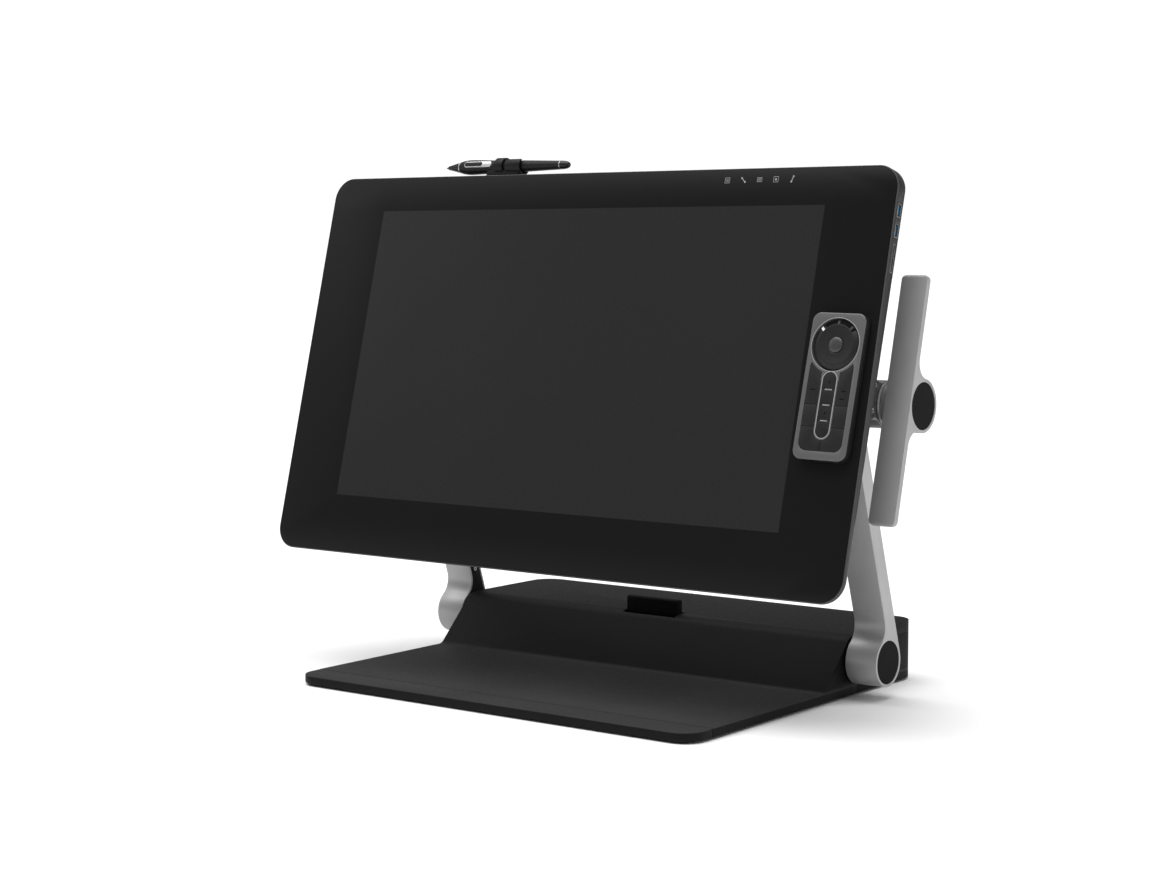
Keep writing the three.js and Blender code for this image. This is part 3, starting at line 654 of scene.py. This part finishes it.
def make_arm(side):
    matrix = SIDES[side] @ ARM
    upper = shift(0, 0, ARM_LENGTH)
    pocket_end, lower_bore, upper_bore, cap_radius = 263, 9.5, 8.5, 20.5

    def outline(inset):
        return arm_outline(ARM_HUB - inset, ARM_STRIP_FRONT + inset, ARM_FILLET + inset)

    arm = prism(f"arm_body_{side}", outline(0), ARM_INNER, ARM_OUTER, matrix, sideways=True)
    cut(
        arm,
        prism("pocket", outline(ARM_WALL), ARM_INNER - 1, pocket_end, matrix, sideways=True),
        rod(cap_radius, 9, matrix @ along_x(ARM_OUTER - CAP_DEPTH), 96),
        rod(upper_bore, 90, matrix @ upper @ along_x(200), 48),
    )
    dress(soften(arm, 0.55, 3), "arm_metal", "arms", "arm_metal", f"arm_{side}")

    cover = prism(f"arm_cover_{side}", outline(ARM_WALL + GAP), ARM_COVER_INNER, ARM_COVER_OUTER,
                  matrix, sideways=True)
    cut(
        cover,
        rod(lower_bore, 90, matrix @ along_x(200), 48),
        rod(upper_bore, 90, matrix @ upper @ along_x(200), 48),
    )
    dress(soften(cover, 0.8), "arm_cover", "arms", "cap_plastic", f"arm_inner_cover_{side}")
    for i, height in enumerate((44, ARM_LENGTH / 2, ARM_LENGTH - 44)):
        facing = matrix @ shift(ARM_COVER_INNER, 14.5, height) @ spin(-pi / 2, "Y")
        socket_screw(f"arm_cover_screw_{side}_{i + 1}", facing, 2.4, "arms", height=0.5)

    cap = hub_cap(f"arm_cap_{side}", 20.25, ARM_OUTER, matrix)
    dress(cap, "cap_plastic", "arms", "cap_plastic", f"arm_hub_cap_{side}")


# ---- Tilt yoke ----


def ring_profile(inner, outer, depth, edge=0.6):
    """A tube's closed section, as (radius, z) points."""
    return [(inner, 0), (outer - edge, 0), (outer, edge), (outer, depth - edge),
            (outer - edge, depth), (inner, depth), (inner, 0)]


def make_brake(side):
    matrix = SIDES[side] @ LEVER
    start, end, ring_end, bore = 268.3, 309.5, 312, 8.3
    housing = turned(f"brake_drum_{side}", ring_profile(bore, BRAKE_RADIUS, end - start),
                     matrix @ along_x(start), 72)
    jaw_width, jaw_height, jaw_back, front = 18.5, 34, 6, 21.3
    jaw = rounded(jaw_width, jaw_height, 2, end - jaw_width / 2, 0)
    join(housing, prism("jaw", jaw, jaw_back, front, matrix))
    cut(housing, rod(bore, 90, matrix @ along_x(250), 48))
    dress(soften(housing, 0.4, 2, 35), "brake_metal", "yoke", "brake_metal",
          f"brake_housing_{side}")
    for i, height in enumerate((-10, 13)):
        place = matrix @ shift(end - 3.4, height, front)
        socket_screw(f"brake_screw_{side}_{i + 1}", place, 2.2, "yoke", height=0.4)
    ring = turned(f"brake_collar_{side}", ring_profile(bore, BRAKE_RADIUS, ring_end - end - GAP, 1.4),
                  matrix @ along_x(end + GAP), 96)
    dress(ring, "arm_metal", "yoke", "brake_metal", f"brake_ring_{side}")


def make_yoke():
    length = size_of("tilt_shaft")[0]
    shaft = turned("tilt_shaft_rod", [(0, 0), (7.4, 0), (8, 0.6), (8, length - 0.6),
                                      (7.4, length), (0, length)],
                   LEVER @ along_x(-length / 2), 48)
    dress(shaft, "steel", "level_shaft", "steel", "tilt_shaft")
    width = size_of("yoke_crossbar")[0]
    tube = turned("yoke_tube", ring_profile(8.3, 18, width, 1), LEVER @ along_x(-width / 2), 96)
    dress(tube, "cap_plastic", "yoke", "brake_metal", "yoke_crossbar")

    plate_back, plate_front, size = -54.5, -50, size_of("yoke_bracket")[0]
    saddle_width, saddle_height, bolt, race_back = 120, 50, 60, -49.7
    bracket = prism("yoke_plate", rounded(size, size, 14), plate_back, plate_front, DISPLAY)
    saddle = rounded(saddle_width, saddle_height, 5, 0, PIVOT_V)
    join(bracket, prism("saddle", saddle, PIVOT_W, plate_back + 1, DISPLAY))
    cut(bracket, rod(18.4, 600, LEVER @ along_x(-300), 96))
    dress(soften(bracket, 0.8), "arm_cover", "yoke", "steel", "yoke_bracket")
    for x in (-1, 1):
        for y in (-1, 1):
            back = DISPLAY @ shift(x * bolt, y * bolt, plate_back) @ spin(pi, "X")
            socket_screw(f"yoke_screw_{'lmr'[x + 1]}_{'lmu'[y + 1]}", back, 4.5, "yoke")

    ring = turned("swivel_race", ring_profile(50, 60, 8.9), DISPLAY @ shift(0, 0, race_back), 96)
    dress(ring, "dark_steel", "yoke", "steel", "swivel_ring")


def lever_outline(steps=18):
    back = LEVER_HUB - LEVER_THICK
    fillet = 15
    drop, reach = back - fillet, LEVER_HUB + fillet
    along = sqrt(reach * reach - drop * drop)
    angle = degrees(atan2(drop, along))
    end = 2.6
    return (
        arc(LEVER_DOWN + end, LEVER_HUB - end, end, 90, 180, 6)
        + arc(LEVER_DOWN + end, back + end, end, 180, 270, 6)
        + arc(-along, drop, fillet, 90, -angle, steps)
        + arc(0, 0, LEVER_HUB, 180 - angle, 360 + angle, 3 * steps)
        + arc(along, drop, fillet, 180 + angle, 90, steps)
        + arc(LEVER_UP - end, back + end, end, 270, 360, 6)
        + arc(LEVER_UP - end, LEVER_HUB - end, end, 0, 90, 6)
    )


def make_lever(side):
    matrix = SIDES[side] @ LEVER
    sleeve, cap_radius, bore, bore_length = 312.3, 21.2, 8.5, 91.3
    lever = prism(f"lever_body_{side}", lever_outline(), LEVER_INNER, LEVER_OUTER, matrix, True)
    plan = rounded(LEVER_OUTER - LEVER_INNER, LEVER_UP - LEVER_DOWN, 5,
                   (LEVER_INNER + LEVER_OUTER) / 2, (LEVER_UP + LEVER_DOWN) / 2, 12)
    combine(lever, prism("plan", plan, -60, 60, matrix), "INTERSECT")
    collar = [(0, 0), (LEVER_COLLAR - 1, 0), (LEVER_COLLAR, 1), (LEVER_COLLAR, 9), (0, 9)]
    join(lever, turned("collar", collar, matrix @ along_x(sleeve), 72))
    cut(
        lever,
        rod(cap_radius, 9, matrix @ along_x(LEVER_OUTER - CAP_DEPTH), 96),
        rod(bore, bore_length, matrix @ along_x(250), 48),
    )
    body = f"lever_{side}"
    dress(soften(lever, 0.55, 3, 35), "lever_metal", body, "arm_metal", f"release_lever_{side}")
    cap = hub_cap(f"lever_cap_{side}", 20.9, LEVER_OUTER, matrix)
    dress(cap, "cap_plastic", body, "cap_plastic", f"lever_hub_cap_{side}")


# ---- Display ----


def panel_ring(inset):
    corner = max(PANEL_CORNER - inset, 18)
    return rounded(PANEL_WIDTH - 2 * inset, PANEL_HEIGHT - 2 * inset, corner, steps=14)


PORT_W, PORT_DEPTH = -7.6, 20
PORTS = {
    "usb_socket_upper": (154.2, 12.4, 6.8),
    "usb_socket_lower": (136, 12.4, 6.8),
    "card_socket": (111.5, 26, 4.2),
}


def glass_ring(inset, steps):
    return rounded(GLASS_WIDTH - 2 * inset, GLASS_HEIGHT - 2 * inset, GLASS_CORNER - inset,
                   steps=steps)


def port_block(v, height, thick):
    right = PANEL_WIDTH / 2
    return block(right - PORT_DEPTH - GAP, right + 5, v - height / 2 - GAP, v + height / 2 + GAP,
                 PORT_W - thick / 2 - GAP, PORT_W + thick / 2 + GAP, DISPLAY)


def make_frame():
    middle = (SIDE_TOP + SIDE_BOTTOM) / 2
    slope = (SIDE_BOTTOM - SIDE_TOP) / PANEL_HEIGHT
    lip, turn = 1.2, 1.4
    rings = [
        (panel_ring(SIDE_CHAMFER), -BACK_DEPTH, 0),
        (panel_ring(turn), -middle - turn * 0.8, slope),
        (panel_ring(turn * 0.3), -middle - turn * 0.3, slope),
        (panel_ring(0), -middle + turn, slope),
    ]
    for step in range(7):
        angle = radians(15 * step)
        inset = 0.75 * lip * (1 - cos(angle))
        rings.append((panel_ring(inset), lip * (sin(angle) - 1), 0))
    casing = loft("display_casing", rings, DISPLAY)
    half_w, half_h = 272.5 + GAP, 159 + GAP
    cut(
        casing,
        prism("pocket", glass_ring(-GAP, 14), -GLASS_THICK - GAP, 5, DISPLAY),
        block(-half_w, half_w, PICTURE_UP - half_h, PICTURE_UP + half_h, -30, 5, DISPLAY),
        *[port_block(*port) for port in PORTS.values()],
    )
    dress(soften(casing, 0.35, 2, 40), "display_body", "display", "display_body", "display_frame")
    # Painted highlight: the front lip beside the glass gets the lighter paint, standing for light caught
    # on its rounded edge.
    add_look(casing, DISPLAY, "lip_painted_highlight", lambda at, normal: at.z > -0.75 * lip)


def make_glass():
    """One slab whose front face has a second material over the picture area."""
    levels = ((0, -GLASS_THICK), (0, -0.5), (0.15, -0.15), (0.5, 0))
    slab = loft("front_glass", [(tidy(glass_ring(inset, 16)), z, 0) for inset, z in levels], DISPLAY)
    dress(slab, "bezel_glass", "display", "front_glass", "display_glass")
    data = bmesh.new()
    data.from_mesh(slab.data)
    half_w, half_h = PICTURE_WIDTH / 2, PICTURE_HEIGHT / 2
    to_mesh = Matrix.Scale(MM, 4) @ DISPLAY
    for axis, half, up in ((Vector((1, 0, 0)), half_w, 0), (Vector((0, 1, 0)), half_h, PICTURE_UP)):
        for side in (-half, half):
            bmesh.ops.bisect_plane(data, geom=data.verts[:] + data.edges[:] + data.faces[:],
                                   plane_co=to_mesh @ (axis * (side + up)),
                                   plane_no=to_mesh.to_3x3() @ axis)
    data.to_mesh(slab.data)
    data.free()
    add_look(slab, DISPLAY, "picture_glass", lambda at, normal: (
        at.z > -0.1 and abs(at.x) < half_w and abs(at.y - PICTURE_UP) < half_h))
    slab.data.set_sharp_from_angle(angle=SHARP)


def make_rear_cover():
    def ring(width, height, corner, z):
        return rounded(width, height, corner, steps=14), z, 0

    def hollowed(width, height, corner, z):
        return ring(width - 2 * wall, height - 2 * wall, corner - 2, z + 0.8 * wall)

    wall, start = 3.2, -BACK_DEPTH - GAP
    steps = [(470, 232, 34, -PANEL_DEPTH), (580, 308, 28, -34), (632, 355, 22, -24)]
    rounding = [(464, 226, 31, -PANEL_DEPTH), (467, 229, 32.5, -PANEL_DEPTH + 0.25),
                (470.5, 232.4, 34, -PANEL_DEPTH + 0.9)]
    outer = [ring(*step) for step in (*rounding, *steps[1:])]
    outer.append((panel_ring(SIDE_CHAMFER + GAP), start, 0))
    inner = [hollowed(*step) for step in steps]
    inner.append((panel_ring(SIDE_CHAMFER + wall), start + 1, 0))
    shell = loft("rear_shell", outer, DISPLAY)
    hub_hole = [(0, -60), (62, -60), (62, -30), (0, -30)]
    cut(shell, loft("inner", inner, DISPLAY), turned("hole", hub_hole, DISPLAY, 96))
    count, pitch, up = 9, 34, 88
    for i in range(count):
        middle = (i - (count - 1) / 2) * pitch
        cut(shell, prism("vent", rounded(4, 26, 1.9, middle, up, 6), -60, -40, DISPLAY))
    dress(soften(shell, 0.3, 2, 40), "display_body", "display", "display_body",
          "display_rear_cover")
    screws = ((-215, -98), (215, -98), (-215, 98), (215, 98))
    for i, (x, y) in enumerate(screws):
        back = DISPLAY @ shift(x, y, -PANEL_DEPTH + 0.2) @ spin(pi, "X")
        socket_screw(f"rear_screw_{i + 1}", back, 2.6, "display", height=0.1)


def make_ports():
    right, wall = PANEL_WIDTH / 2, 0.8
    for node, (v, height, thick) in PORTS.items():
        name = node.replace("_socket", "")

        def solid(shrink, extra):
            half, depth = height / 2 - shrink, thick / 2 - shrink
            return block(right - PORT_DEPTH + shrink, right - GAP + extra, v - half, v + half,
                         PORT_W - depth, PORT_W + depth, DISPLAY, f"{name}_liner")

        liner = cut(solid(0, 0), solid(wall, 2))
        slot = "socket_plastic" if "usb" in node else "steel"
        dress(soften(liner, 0.15, 2), "steel", "display", slot, node)
        if "usb" in node:
            tongue = block(right - PORT_DEPTH + wall + 0.2, right - 1.2, v - 4.4, v + 4.4,
                           PORT_W - 0.2, PORT_W + 1.8, DISPLAY, f"{name}_tongue")
            dress(soften(tongue, 0.2, 2), "socket_blue", "display", "socket_plastic")
            for i in range(4):
                pin_v = v - 3.3 + i * 2.2
                pin = block(right - 14, right - 3, pin_v - 0.5, pin_v + 0.5,
                            PORT_W - 0.45, PORT_W - 0.15, DISPLAY, f"{name}_contact_{i + 1}")
                dress(pin, "screw", "display", "steel")


def make_touch_marks():
    """Five plain marks on the top bezel: a tall and a low ruled box, two links and a square."""
    up, first, pitch, half, line, row = 182.6, 154, 17.35, 2.6, 0.35, 1.1

    def mark_piece(name, outline, top=0.04, matrix=DISPLAY):
        piece = prism(f"touch_mark_{mark}_{name}", outline, -0.05, top, matrix)
        dress(piece, "icon_mark", "display", "front_glass")

    def bar(name, x0, x1, y0, y1):
        corners = [(x0, y0), (x1, y0), (x1, y1), (x0, y1)]
        mark_piece(name, [(x + dx, up + dy) for dx, dy in corners])

    for mark in range(5):
        x = first + mark * pitch
        if mark in (0, 2, 3):
            high = half * (0.8 if mark == 2 else 1)
            bar("top", -half, half, high - line, high)
            bar("bottom", -half, half, -high, line - high)
            bar("left", -half, line - half, line - high, high - line)
            bar("right", half - line, half, line - high, high - line)
        if mark in (0, 2):
            for i in (-1, 0, 1):
                bar(f"row_{i + 2}", -half * 0.6, half * 0.6, i * row - line / 2, i * row + line / 2)
        if mark == 3:
            bar("core", -0.9, 0.9, -0.9, 0.9)
        if mark in (1, 4):
            local = DISPLAY @ shift(x, up, 0) @ spin(radians(-45 if mark == 1 else 70), "Z")
            mark_piece("stem", rounded(2 * half, 0.7, 0.3), matrix=local)
            for i, end in enumerate((-half, half)):
                mark_piece(f"dot_{i}", disc(0.9, end, 0, 20), 0.045, local)


def make_holder():
    inner, outer = 7.1, 8.7
    matrix = DISPLAY @ shift(0, PEN_V, PEN_W)

    def sleeve(name, radius, x0, x1):
        return rod(radius, x1 - x0, matrix @ along_x(x0), 64, name)

    holder = sleeve("pen_clip", outer, -127, -117)
    cradle = sleeve("cradle", outer - 0.01, -113, -95)
    cut(cradle, block(-200, 0, 5.5, 60, -50, 50, matrix))
    foot_low, foot_high = PANEL_HEIGHT / 2 + GAP - PEN_V, -4
    foot = prism("foot", rounded(43, 11, 3, -117, 0), foot_low, foot_high,
                 matrix @ spin(-pi / 2, "X"))
    join(holder, cradle, foot)
    cut(holder, sleeve("bore", inner, -300, 0))
    dress(soften(holder, 0.45, 3, 35), "holder", "display", "display_body", "pen_holder")


# ---- Remote ----

REMOTE_WIDTH, REMOTE_HEIGHT, REMOTE_TOP, REMOTE_FLOOR = 53, 130, 10.3, 7
DIAL_Y, DIAL_RADIUS, BUTTON_RADIUS, RIM_RADIUS = 36.8, 23.5, 6.8, 26
PILL_HALF, PILL_LOW, PILL_HIGH, PILL_RIM = 6.7, -45.6, 12.4, 1.8
PILL_BARS = (-3, -16.7, -30.5)
KEY_HALF, KEY_LOW, KEY_HIGH, KEY_CORNER = 21.8, -57.4, 24, 8
KEY_SEAMS = (-16.6, -36.1)
KEY_BOTTOM, KEY_TOP, SEAM = 8, 10.2, 0.2


def pill_outline(grow, steps=20):
    half = PILL_HALF + grow
    return rounded(2 * half, PILL_HIGH - PILL_LOW + 2 * grow, half - 0.02, 0,
                   (PILL_HIGH + PILL_LOW) / 2, steps)


def key_region(name, grow, low, high):
    outline = rounded(2 * (KEY_HALF + grow), KEY_HIGH - KEY_LOW + 2 * grow, KEY_CORNER + grow, 0,
                      (KEY_HIGH + KEY_LOW) / 2, 12)
    bridge = 9 - grow
    return cut(
        prism(name, outline, low, high, REMOTE),
        prism("ring", disc(RIM_RADIUS - grow, 0, DIAL_Y, 96), low - 1, high + 1, REMOTE),
        prism("pill", pill_outline(PILL_RIM - grow), low - 1, high + 1, REMOTE),
        block(-bridge, bridge, PILL_HIGH - 8, DIAL_Y, low - 1, high + 1, REMOTE),
    )


def flat_ring(name, outer_outline, inner_outline):
    """A thin raised rim between two outlines of equal length, on the remote's top."""
    low, high = REMOTE_TOP - 0.6, REMOTE_TOP + 0.12
    data = bmesh.new()
    corners = ((outer_outline, low), (outer_outline, high - 0.1), (inner_outline, high),
               (inner_outline, low))
    rows = [[data.verts.new((x, y, z)) for x, y in outline] for outline, z in corners]
    skin(data, rows + rows[:1])
    bmesh.ops.recalc_face_normals(data, faces=data.faces)
    dress(to_object(name, data, REMOTE), "remote_rim", "remote", "remote_silver")


def make_remote_shell():
    def ring(inset, z):
        return (rounded(REMOTE_WIDTH - 2 * inset, REMOTE_HEIGHT - 2 * inset, 8 - inset, steps=14),
                z, 0)

    edge = 1.3
    rings = [ring(0.5, GAP), ring(0, GAP + 0.6), ring(0, REMOTE_TOP - edge)]
    for step in range(1, 6):
        turn = radians(18 * step)
        rings.append(ring(edge * (1 - cos(turn)), REMOTE_TOP - edge + edge * sin(turn)))
    shell = loft("remote_case", rings, REMOTE)
    cut(
        shell,
        prism("well", disc(DIAL_RADIUS, 0, DIAL_Y, 96), REMOTE_FLOOR, 20, REMOTE),
        key_region("keys", 0, REMOTE_FLOOR, 20),
        prism("pill", pill_outline(0), REMOTE_FLOOR, 20, REMOTE),
    )
    dress(soften(shell, 0.18, 2, 40), "remote_silver", "remote", "remote_silver", "remote_shell")
    add_look(shell, REMOTE, "remote_side", lambda at, normal: (
        abs(normal.z) < 0.5 and at.z < REMOTE_TOP - 1.2
        and (abs(at.x) > REMOTE_WIDTH / 2 - 2.5 or abs(at.y) > REMOTE_HEIGHT / 2 - 2.5)))
    add_look(shell, REMOTE, "well_plastic", lambda at, normal: (
        at.z < REMOTE_FLOOR + 0.1 and normal.z > 0.5))

    flat_ring("dial_rim", disc(DIAL_RADIUS + 0.6, 0, DIAL_Y, 96),
              disc(DIAL_RADIUS + 0.05, 0, DIAL_Y, 96))
    flat_ring("pill_rim", tidy(pill_outline(0.9)), tidy(pill_outline(0.05)))
    for i, y in enumerate(PILL_BARS):
        bar = prism(f"pill_bar_{i + 1}", rounded(7.2, 1.1, 0.3, 0, y), REMOTE_FLOOR - 0.5,
                    REMOTE_TOP, REMOTE)
        dress(soften(bar, 0.15, 2), "remote_rim", "remote", "remote_silver")


def make_dial():
    bottom, outer, flat = REMOTE_FLOOR + GAP, DIAL_RADIUS - 1.2, 18
    bore = BUTTON_RADIUS + 0.45
    centre = REMOTE @ shift(0, DIAL_Y, 0)
    skirt, top = bottom + 1.2, bottom + 2.7
    dish, dip = flat - 0.5 - bore - 0.6, 0.8
    profile = [(bore, bottom), (outer, bottom), (outer, skirt), (outer - 0.4, skirt + 0.35),
               (flat + 0.5, top - 0.25), (flat, top), (flat - 0.5, top)]
    for step in range(1, 9):
        share = step / 8
        profile.append((flat - 0.5 - share * dish, top - dip * sin(share * pi / 2)))
    profile += [(bore, top - 1), (bore, bottom)]
    dial = turned("dial_disc", profile, centre, 96)
    dress(dial, "key_plastic", "remote", "key_plastic", "touch_ring")

    def skirt_piece(name, start, end, look, rise=0.05):
        """A thin patch on the dial's sloping skirt between two angles."""
        angles = [radians(start + (end - start) * i / 24) for i in range(25)]
        inside, outside = (flat + 0.3, top - 0.2), (outer - 0.2, skirt + 0.25)
        data = bmesh.new()
        rows = [
            [data.verts.new((radius * cos(a), radius * sin(a), z + lift)) for a in angles]
            for (radius, z), lift in ((inside, -0.4), (outside, -0.4), (outside, rise), (inside, rise))
        ]
        skin(data, rows + rows[:1], closed=False)
        for end_row in (0, -1):
            data.faces.new([row[end_row] for row in rows])
        bmesh.ops.recalc_face_normals(data, faces=data.faces)
        dress(to_object(name, data, centre), look, "remote", "key_plastic")

    skirt_piece("dial_tick_white", 134.5, 141.5, "white_mark", 0.12)
    skirt_piece("dial_tick_dark", 38, 46, "dark_mark", 0.1)
    skirt_piece("dial_arc_left", 93, 128, "dark_mark")
    skirt_piece("dial_arc_right", 52, 87, "dark_mark")

    button = [(0, KEY_BOTTOM), (BUTTON_RADIUS, KEY_BOTTOM), (BUTTON_RADIUS, KEY_TOP - 0.6)]
    for step in range(1, 11):
        share = radians(9 * step)
        button.append((BUTTON_RADIUS * cos(share), KEY_TOP - 0.6 + 1.3 * sin(share)))
    button[-1] = (0, KEY_TOP + 0.7)
    piece = turned("dial_button", button, centre, 64)
    dress(piece, "button_plastic", "ring_button", "key_plastic", "ring_button")


def tactile(name, x, y, body):
    ridge = prism(name, rounded(4.4, 0.7, 0.33, steps=8), KEY_TOP - 0.3, KEY_TOP + 0.28,
                  REMOTE @ shift(x, y, 0))
    dress(soften(ridge, 0.12, 2), "dark_mark", body, "key_plastic")


def make_keys():
    def cap(region, high, low, half):
        window = block(*half, low + SEAM, high - SEAM, 0, 20, REMOTE)
        return combine(region, window, "INTERSECT")

    edges = (KEY_HIGH, *KEY_SEAMS, KEY_LOW)
    for row, name in enumerate(("upper", "middle", "lower")):
        for side, half in (("left", (-30, -SEAM)), ("right", (SEAM, 30))):
            body = f"side_key_{name}_{side}"
            key = cap(key_region(body + "_cap", -GAP, KEY_BOTTOM, KEY_TOP), edges[row],
                      edges[row + 1], half)
            dress(soften(key, 0.35, 3, 40), "key_plastic", body, "key_plastic", body)
    tactile("tick_left", -15.6, -3.6, "side_key_upper_left")
    tactile("tick_right_upper", 15.4, -3.8, "side_key_upper_right")
    tactile("tick_right_lower", 14.6, -10.7, "side_key_upper_right")

    edges = (PILL_HIGH, *PILL_BARS, PILL_LOW)
    for i in range(4):
        body = f"centre_key_{i + 1}"
        region = prism(body + "_cap", pill_outline(-GAP), KEY_BOTTOM, KEY_TOP, REMOTE)
        key = cap(region, edges[i], edges[i + 1], (-10, 10))
        cut(key, *[block(-3.9, 3.9, y - 0.95, y + 0.95, 0, 20, REMOTE) for y in PILL_BARS])
        dress(soften(key, 0.4, 3, 40), "key_plastic", body, "key_plastic", body)
    for body, y in (("centre_key_1", 3.6), ("centre_key_3", -23.6)):
        place = REMOTE @ shift(0, y, KEY_TOP - 0.1)
        dot = turned(body + "_dot", [(0, 0), (0.8, 0), (0.7, 0.25), (0.4, 0.38), (0, 0.42)], place, 24)
        dress(dot, "dark_mark", body, "key_plastic")


# ---- Pen ----


def smooth_profile(points, steps=6):
    """Passes a curve through (radius, z) points."""
    out = []
    for i in range(len(points) - 1):
        p0 = Vector(points[max(i - 1, 0)])
        p1, p2 = Vector(points[i]), Vector(points[i + 1])
        p3 = Vector(points[min(i + 2, len(points) - 1)])
        for step in range(steps):
            t = step / steps
            a = 2 * p1 + (p2 - p0) * t
            b = (2 * p0 - 5 * p1 + 4 * p2 - p3) * t * t
            c = (3 * p1 - p0 - 3 * p2 + p3) * t ** 3
            out.append(tuple((a + b + c) / 2))
    return out + [tuple(points[-1])]


def make_pen():
    grip = smooth_profile([(5.55, 20.6), (6.5, 24), (7.35, 31), (7.4, 37), (7.05, 48), (6.6, 60),
                           (6.25, 72)])
    switch_low, switch_high, switch_half = 29, 63.5, 3
    length, middle = switch_high - switch_low, (switch_low + switch_high) / 2
    facing = PEN @ spin(pi / 2, "X")

    cone = turned("pen_cone", [(0.9, 3.0), (1.5, 3.0), (1.9, 3.6), (5.2, 18.4), (5.45, 19.4),
                               (5.2, 19.6), (0.9, 19.6), (0.9, 3.0)], PEN)
    dress(cone, "pen_gloss", "pen", "pen_grip")
    ring = turned("pen_front_ring", ring_profile(4.4, 5.65, 0.9, 0.2), PEN @ shift(0, 0, 19.65))
    dress(ring, "pen_silver", "pen", "pen_silver")

    barrel = turned("pen_barrel", [(0, 20.6), *grip, *smooth_profile([
        (6.22, 73), (5.7, 100), (4.9, 126), (4.3, 145.4)]), (0, 145.4)], PEN)
    seat = rounded(2 * (switch_half + GAP), length + 2 * GAP, switch_half + 0.2, 0, middle)
    cut(barrel, prism("recess", seat, 3, 12, facing))
    dress(barrel, "pen_grip", "pen", "pen_grip", "pen_body")
    tail_ring = turned("pen_tail_ring", ring_profile(3.4, 4.45, 0.8, 0.2),
                       PEN @ shift(0, 0, 145.5))
    dress(tail_ring, "pen_silver", "pen", "pen_silver")
    tail = turned("pen_tail_cap", [(0, 146.4), (4.25, 146.4), *smooth_profile([
        (4.25, 146.8), (4.1, 150), (3.5, 153.4), (2.5, 155.6), (1.3, 156.4), (0, 156.5)])], PEN)
    dress(tail, "pen_gloss", "pen", "pen_grip")
    nib = turned("pen_point", [(0, 0), (0.25, 0.08), (0.42, 0.5), (0.6, 1.6), (0.6, 8), (0, 8)], PEN, 32)
    dress(nib, "pen_grip", "pen_nib", "pen_grip", "pen_nib")

    pad_outline = rounded(2 * switch_half, length, switch_half - 0.05, 0, middle, 12)
    pad = prism("pen_switch_pad", pad_outline, 4.2, 7.7, facing)
    dress(soften(pad, 0.5, 3, 40), "pen_silver", "pen_switch", "pen_silver", "pen_switch")
    insert_outline = rounded(4.4, 22.5, 2.1, 0, switch_low + 12, 12)
    insert = prism("pen_switch_insert", insert_outline, 7.2, 7.9, facing)
    dress(soften(insert, 0.25, 3, 40), "pen_grip", "pen_switch", "pen_silver")


# ---- CAD nodes that stay as they are ----

KEPT = {
    "dark_steel": ["base_weight_plate", "hinge_bracket_left", "hinge_bracket_right", "swivel_hub"],
    "steel": ["base_shaft", "levelling_rod_left", "levelling_rod_right", "level_crank_left",
              "level_crank_right"],
    "spring_steel": ["counter_spring_left", "counter_spring_right"],
    "screen_module": ["screen_panel"],
    "circuit_board": ["main_board"],
}


def dress_kept_nodes():
    for look, names in KEPT.items():
        for name in names:
            mesh = frame["nodes"][name].data
            mesh.materials.clear()
            mesh.materials.append(MATERIALS[look])


# ---- Camera, floor and light ----


def aim(name, data, place, direction):
    thing = new_object(name, data)
    thing.location = place
    thing.rotation_mode = "QUATERNION"
    thing.rotation_quaternion = Vector(direction).to_track_quat("-Z", "Y")
    return thing


def make_camera():
    data = bpy.data.cameras.new("camera")
    data.sensor_width = 36
    data.lens = 69.35
    yaw, pitch = -0.64404, -0.08199
    forward = (sin(yaw) * cos(pitch), cos(yaw) * cos(pitch), sin(pitch))
    bpy.context.scene.camera = aim("camera", data, (1.28956, -1.75867, 0.41851), forward)


def make_floor():
    data = bmesh.new()
    bmesh.ops.create_grid(data, x_segments=1, y_segments=1, size=30)
    mesh = bpy.data.meshes.new("floor")
    data.to_mesh(mesh)
    data.free()
    floor = new_object("floor", mesh)
    floor.location.z = -0.0002
    material, tree, shader, place = new_material("floor_paint")
    paint = ramp(tree, noise(tree, place, 2, 2), grey(0.9), grey(0.93))
    feed(tree, shader, {"Base Color": paint, "Roughness": 0.9, "Specular IOR Level": 0.1})
    mesh.materials.append(material)


def add_light(name, kind, energy, place, target, size=None, angle=None):
    data = bpy.data.lights.new(name, kind)
    data.energy = energy
    if size:
        data.shape = "RECTANGLE"
        data.size, data.size_y = size
    if angle:
        data.angle = radians(angle)
    aim(name, data, place, Vector(target) - Vector(place))


def make_light():
    world = bpy.data.worlds.new("studio")
    world.use_nodes = True
    tree = world.node_tree
    backdrop = tree.nodes["Background"]
    fill = add_node(tree, "Background", {"Color": (1, 1, 1, 1), "Strength": 0.3})
    feed(tree, backdrop, {"Color": (1, 1, 1, 1), "Strength": 1.05})
    mix = add_node(tree, "MixShader", {
        "Fac": add_node(tree, "LightPath").outputs["Is Camera Ray"],
        1: fill.outputs["Background"], 2: backdrop.outputs["Background"],
    })
    feed(tree, tree.nodes["World Output"], {"Surface": mix.outputs["Shader"]})
    bpy.context.scene.world = world
    add_light("overhead", "SUN", 3.4, (-0.4, -0.5, 3), (0, 0, 0), angle=70)
    add_light("side_box", "AREA", 12, (2.6, 0.6, 1.2), (0.3, 0, 0.25), size=(1.6, 1.6))
    add_light("front_box", "AREA", 21, (-3.5, -1.5, 2.9), (0, -0.07, 0.4), size=(3, 3))
    bpy.context.scene.view_settings.view_transform = "Standard"


make_camera()
make_floor()
make_light()
dress_kept_nodes()
make_base()
make_yoke()
for hand in SIDES:
    make_arm(hand)
    make_brake(hand)
    make_lever(hand)
make_frame()
make_glass()
make_rear_cover()
make_ports()
make_touch_marks()
make_holder()
make_remote_shell()
make_dial()
make_keys()
make_pen()
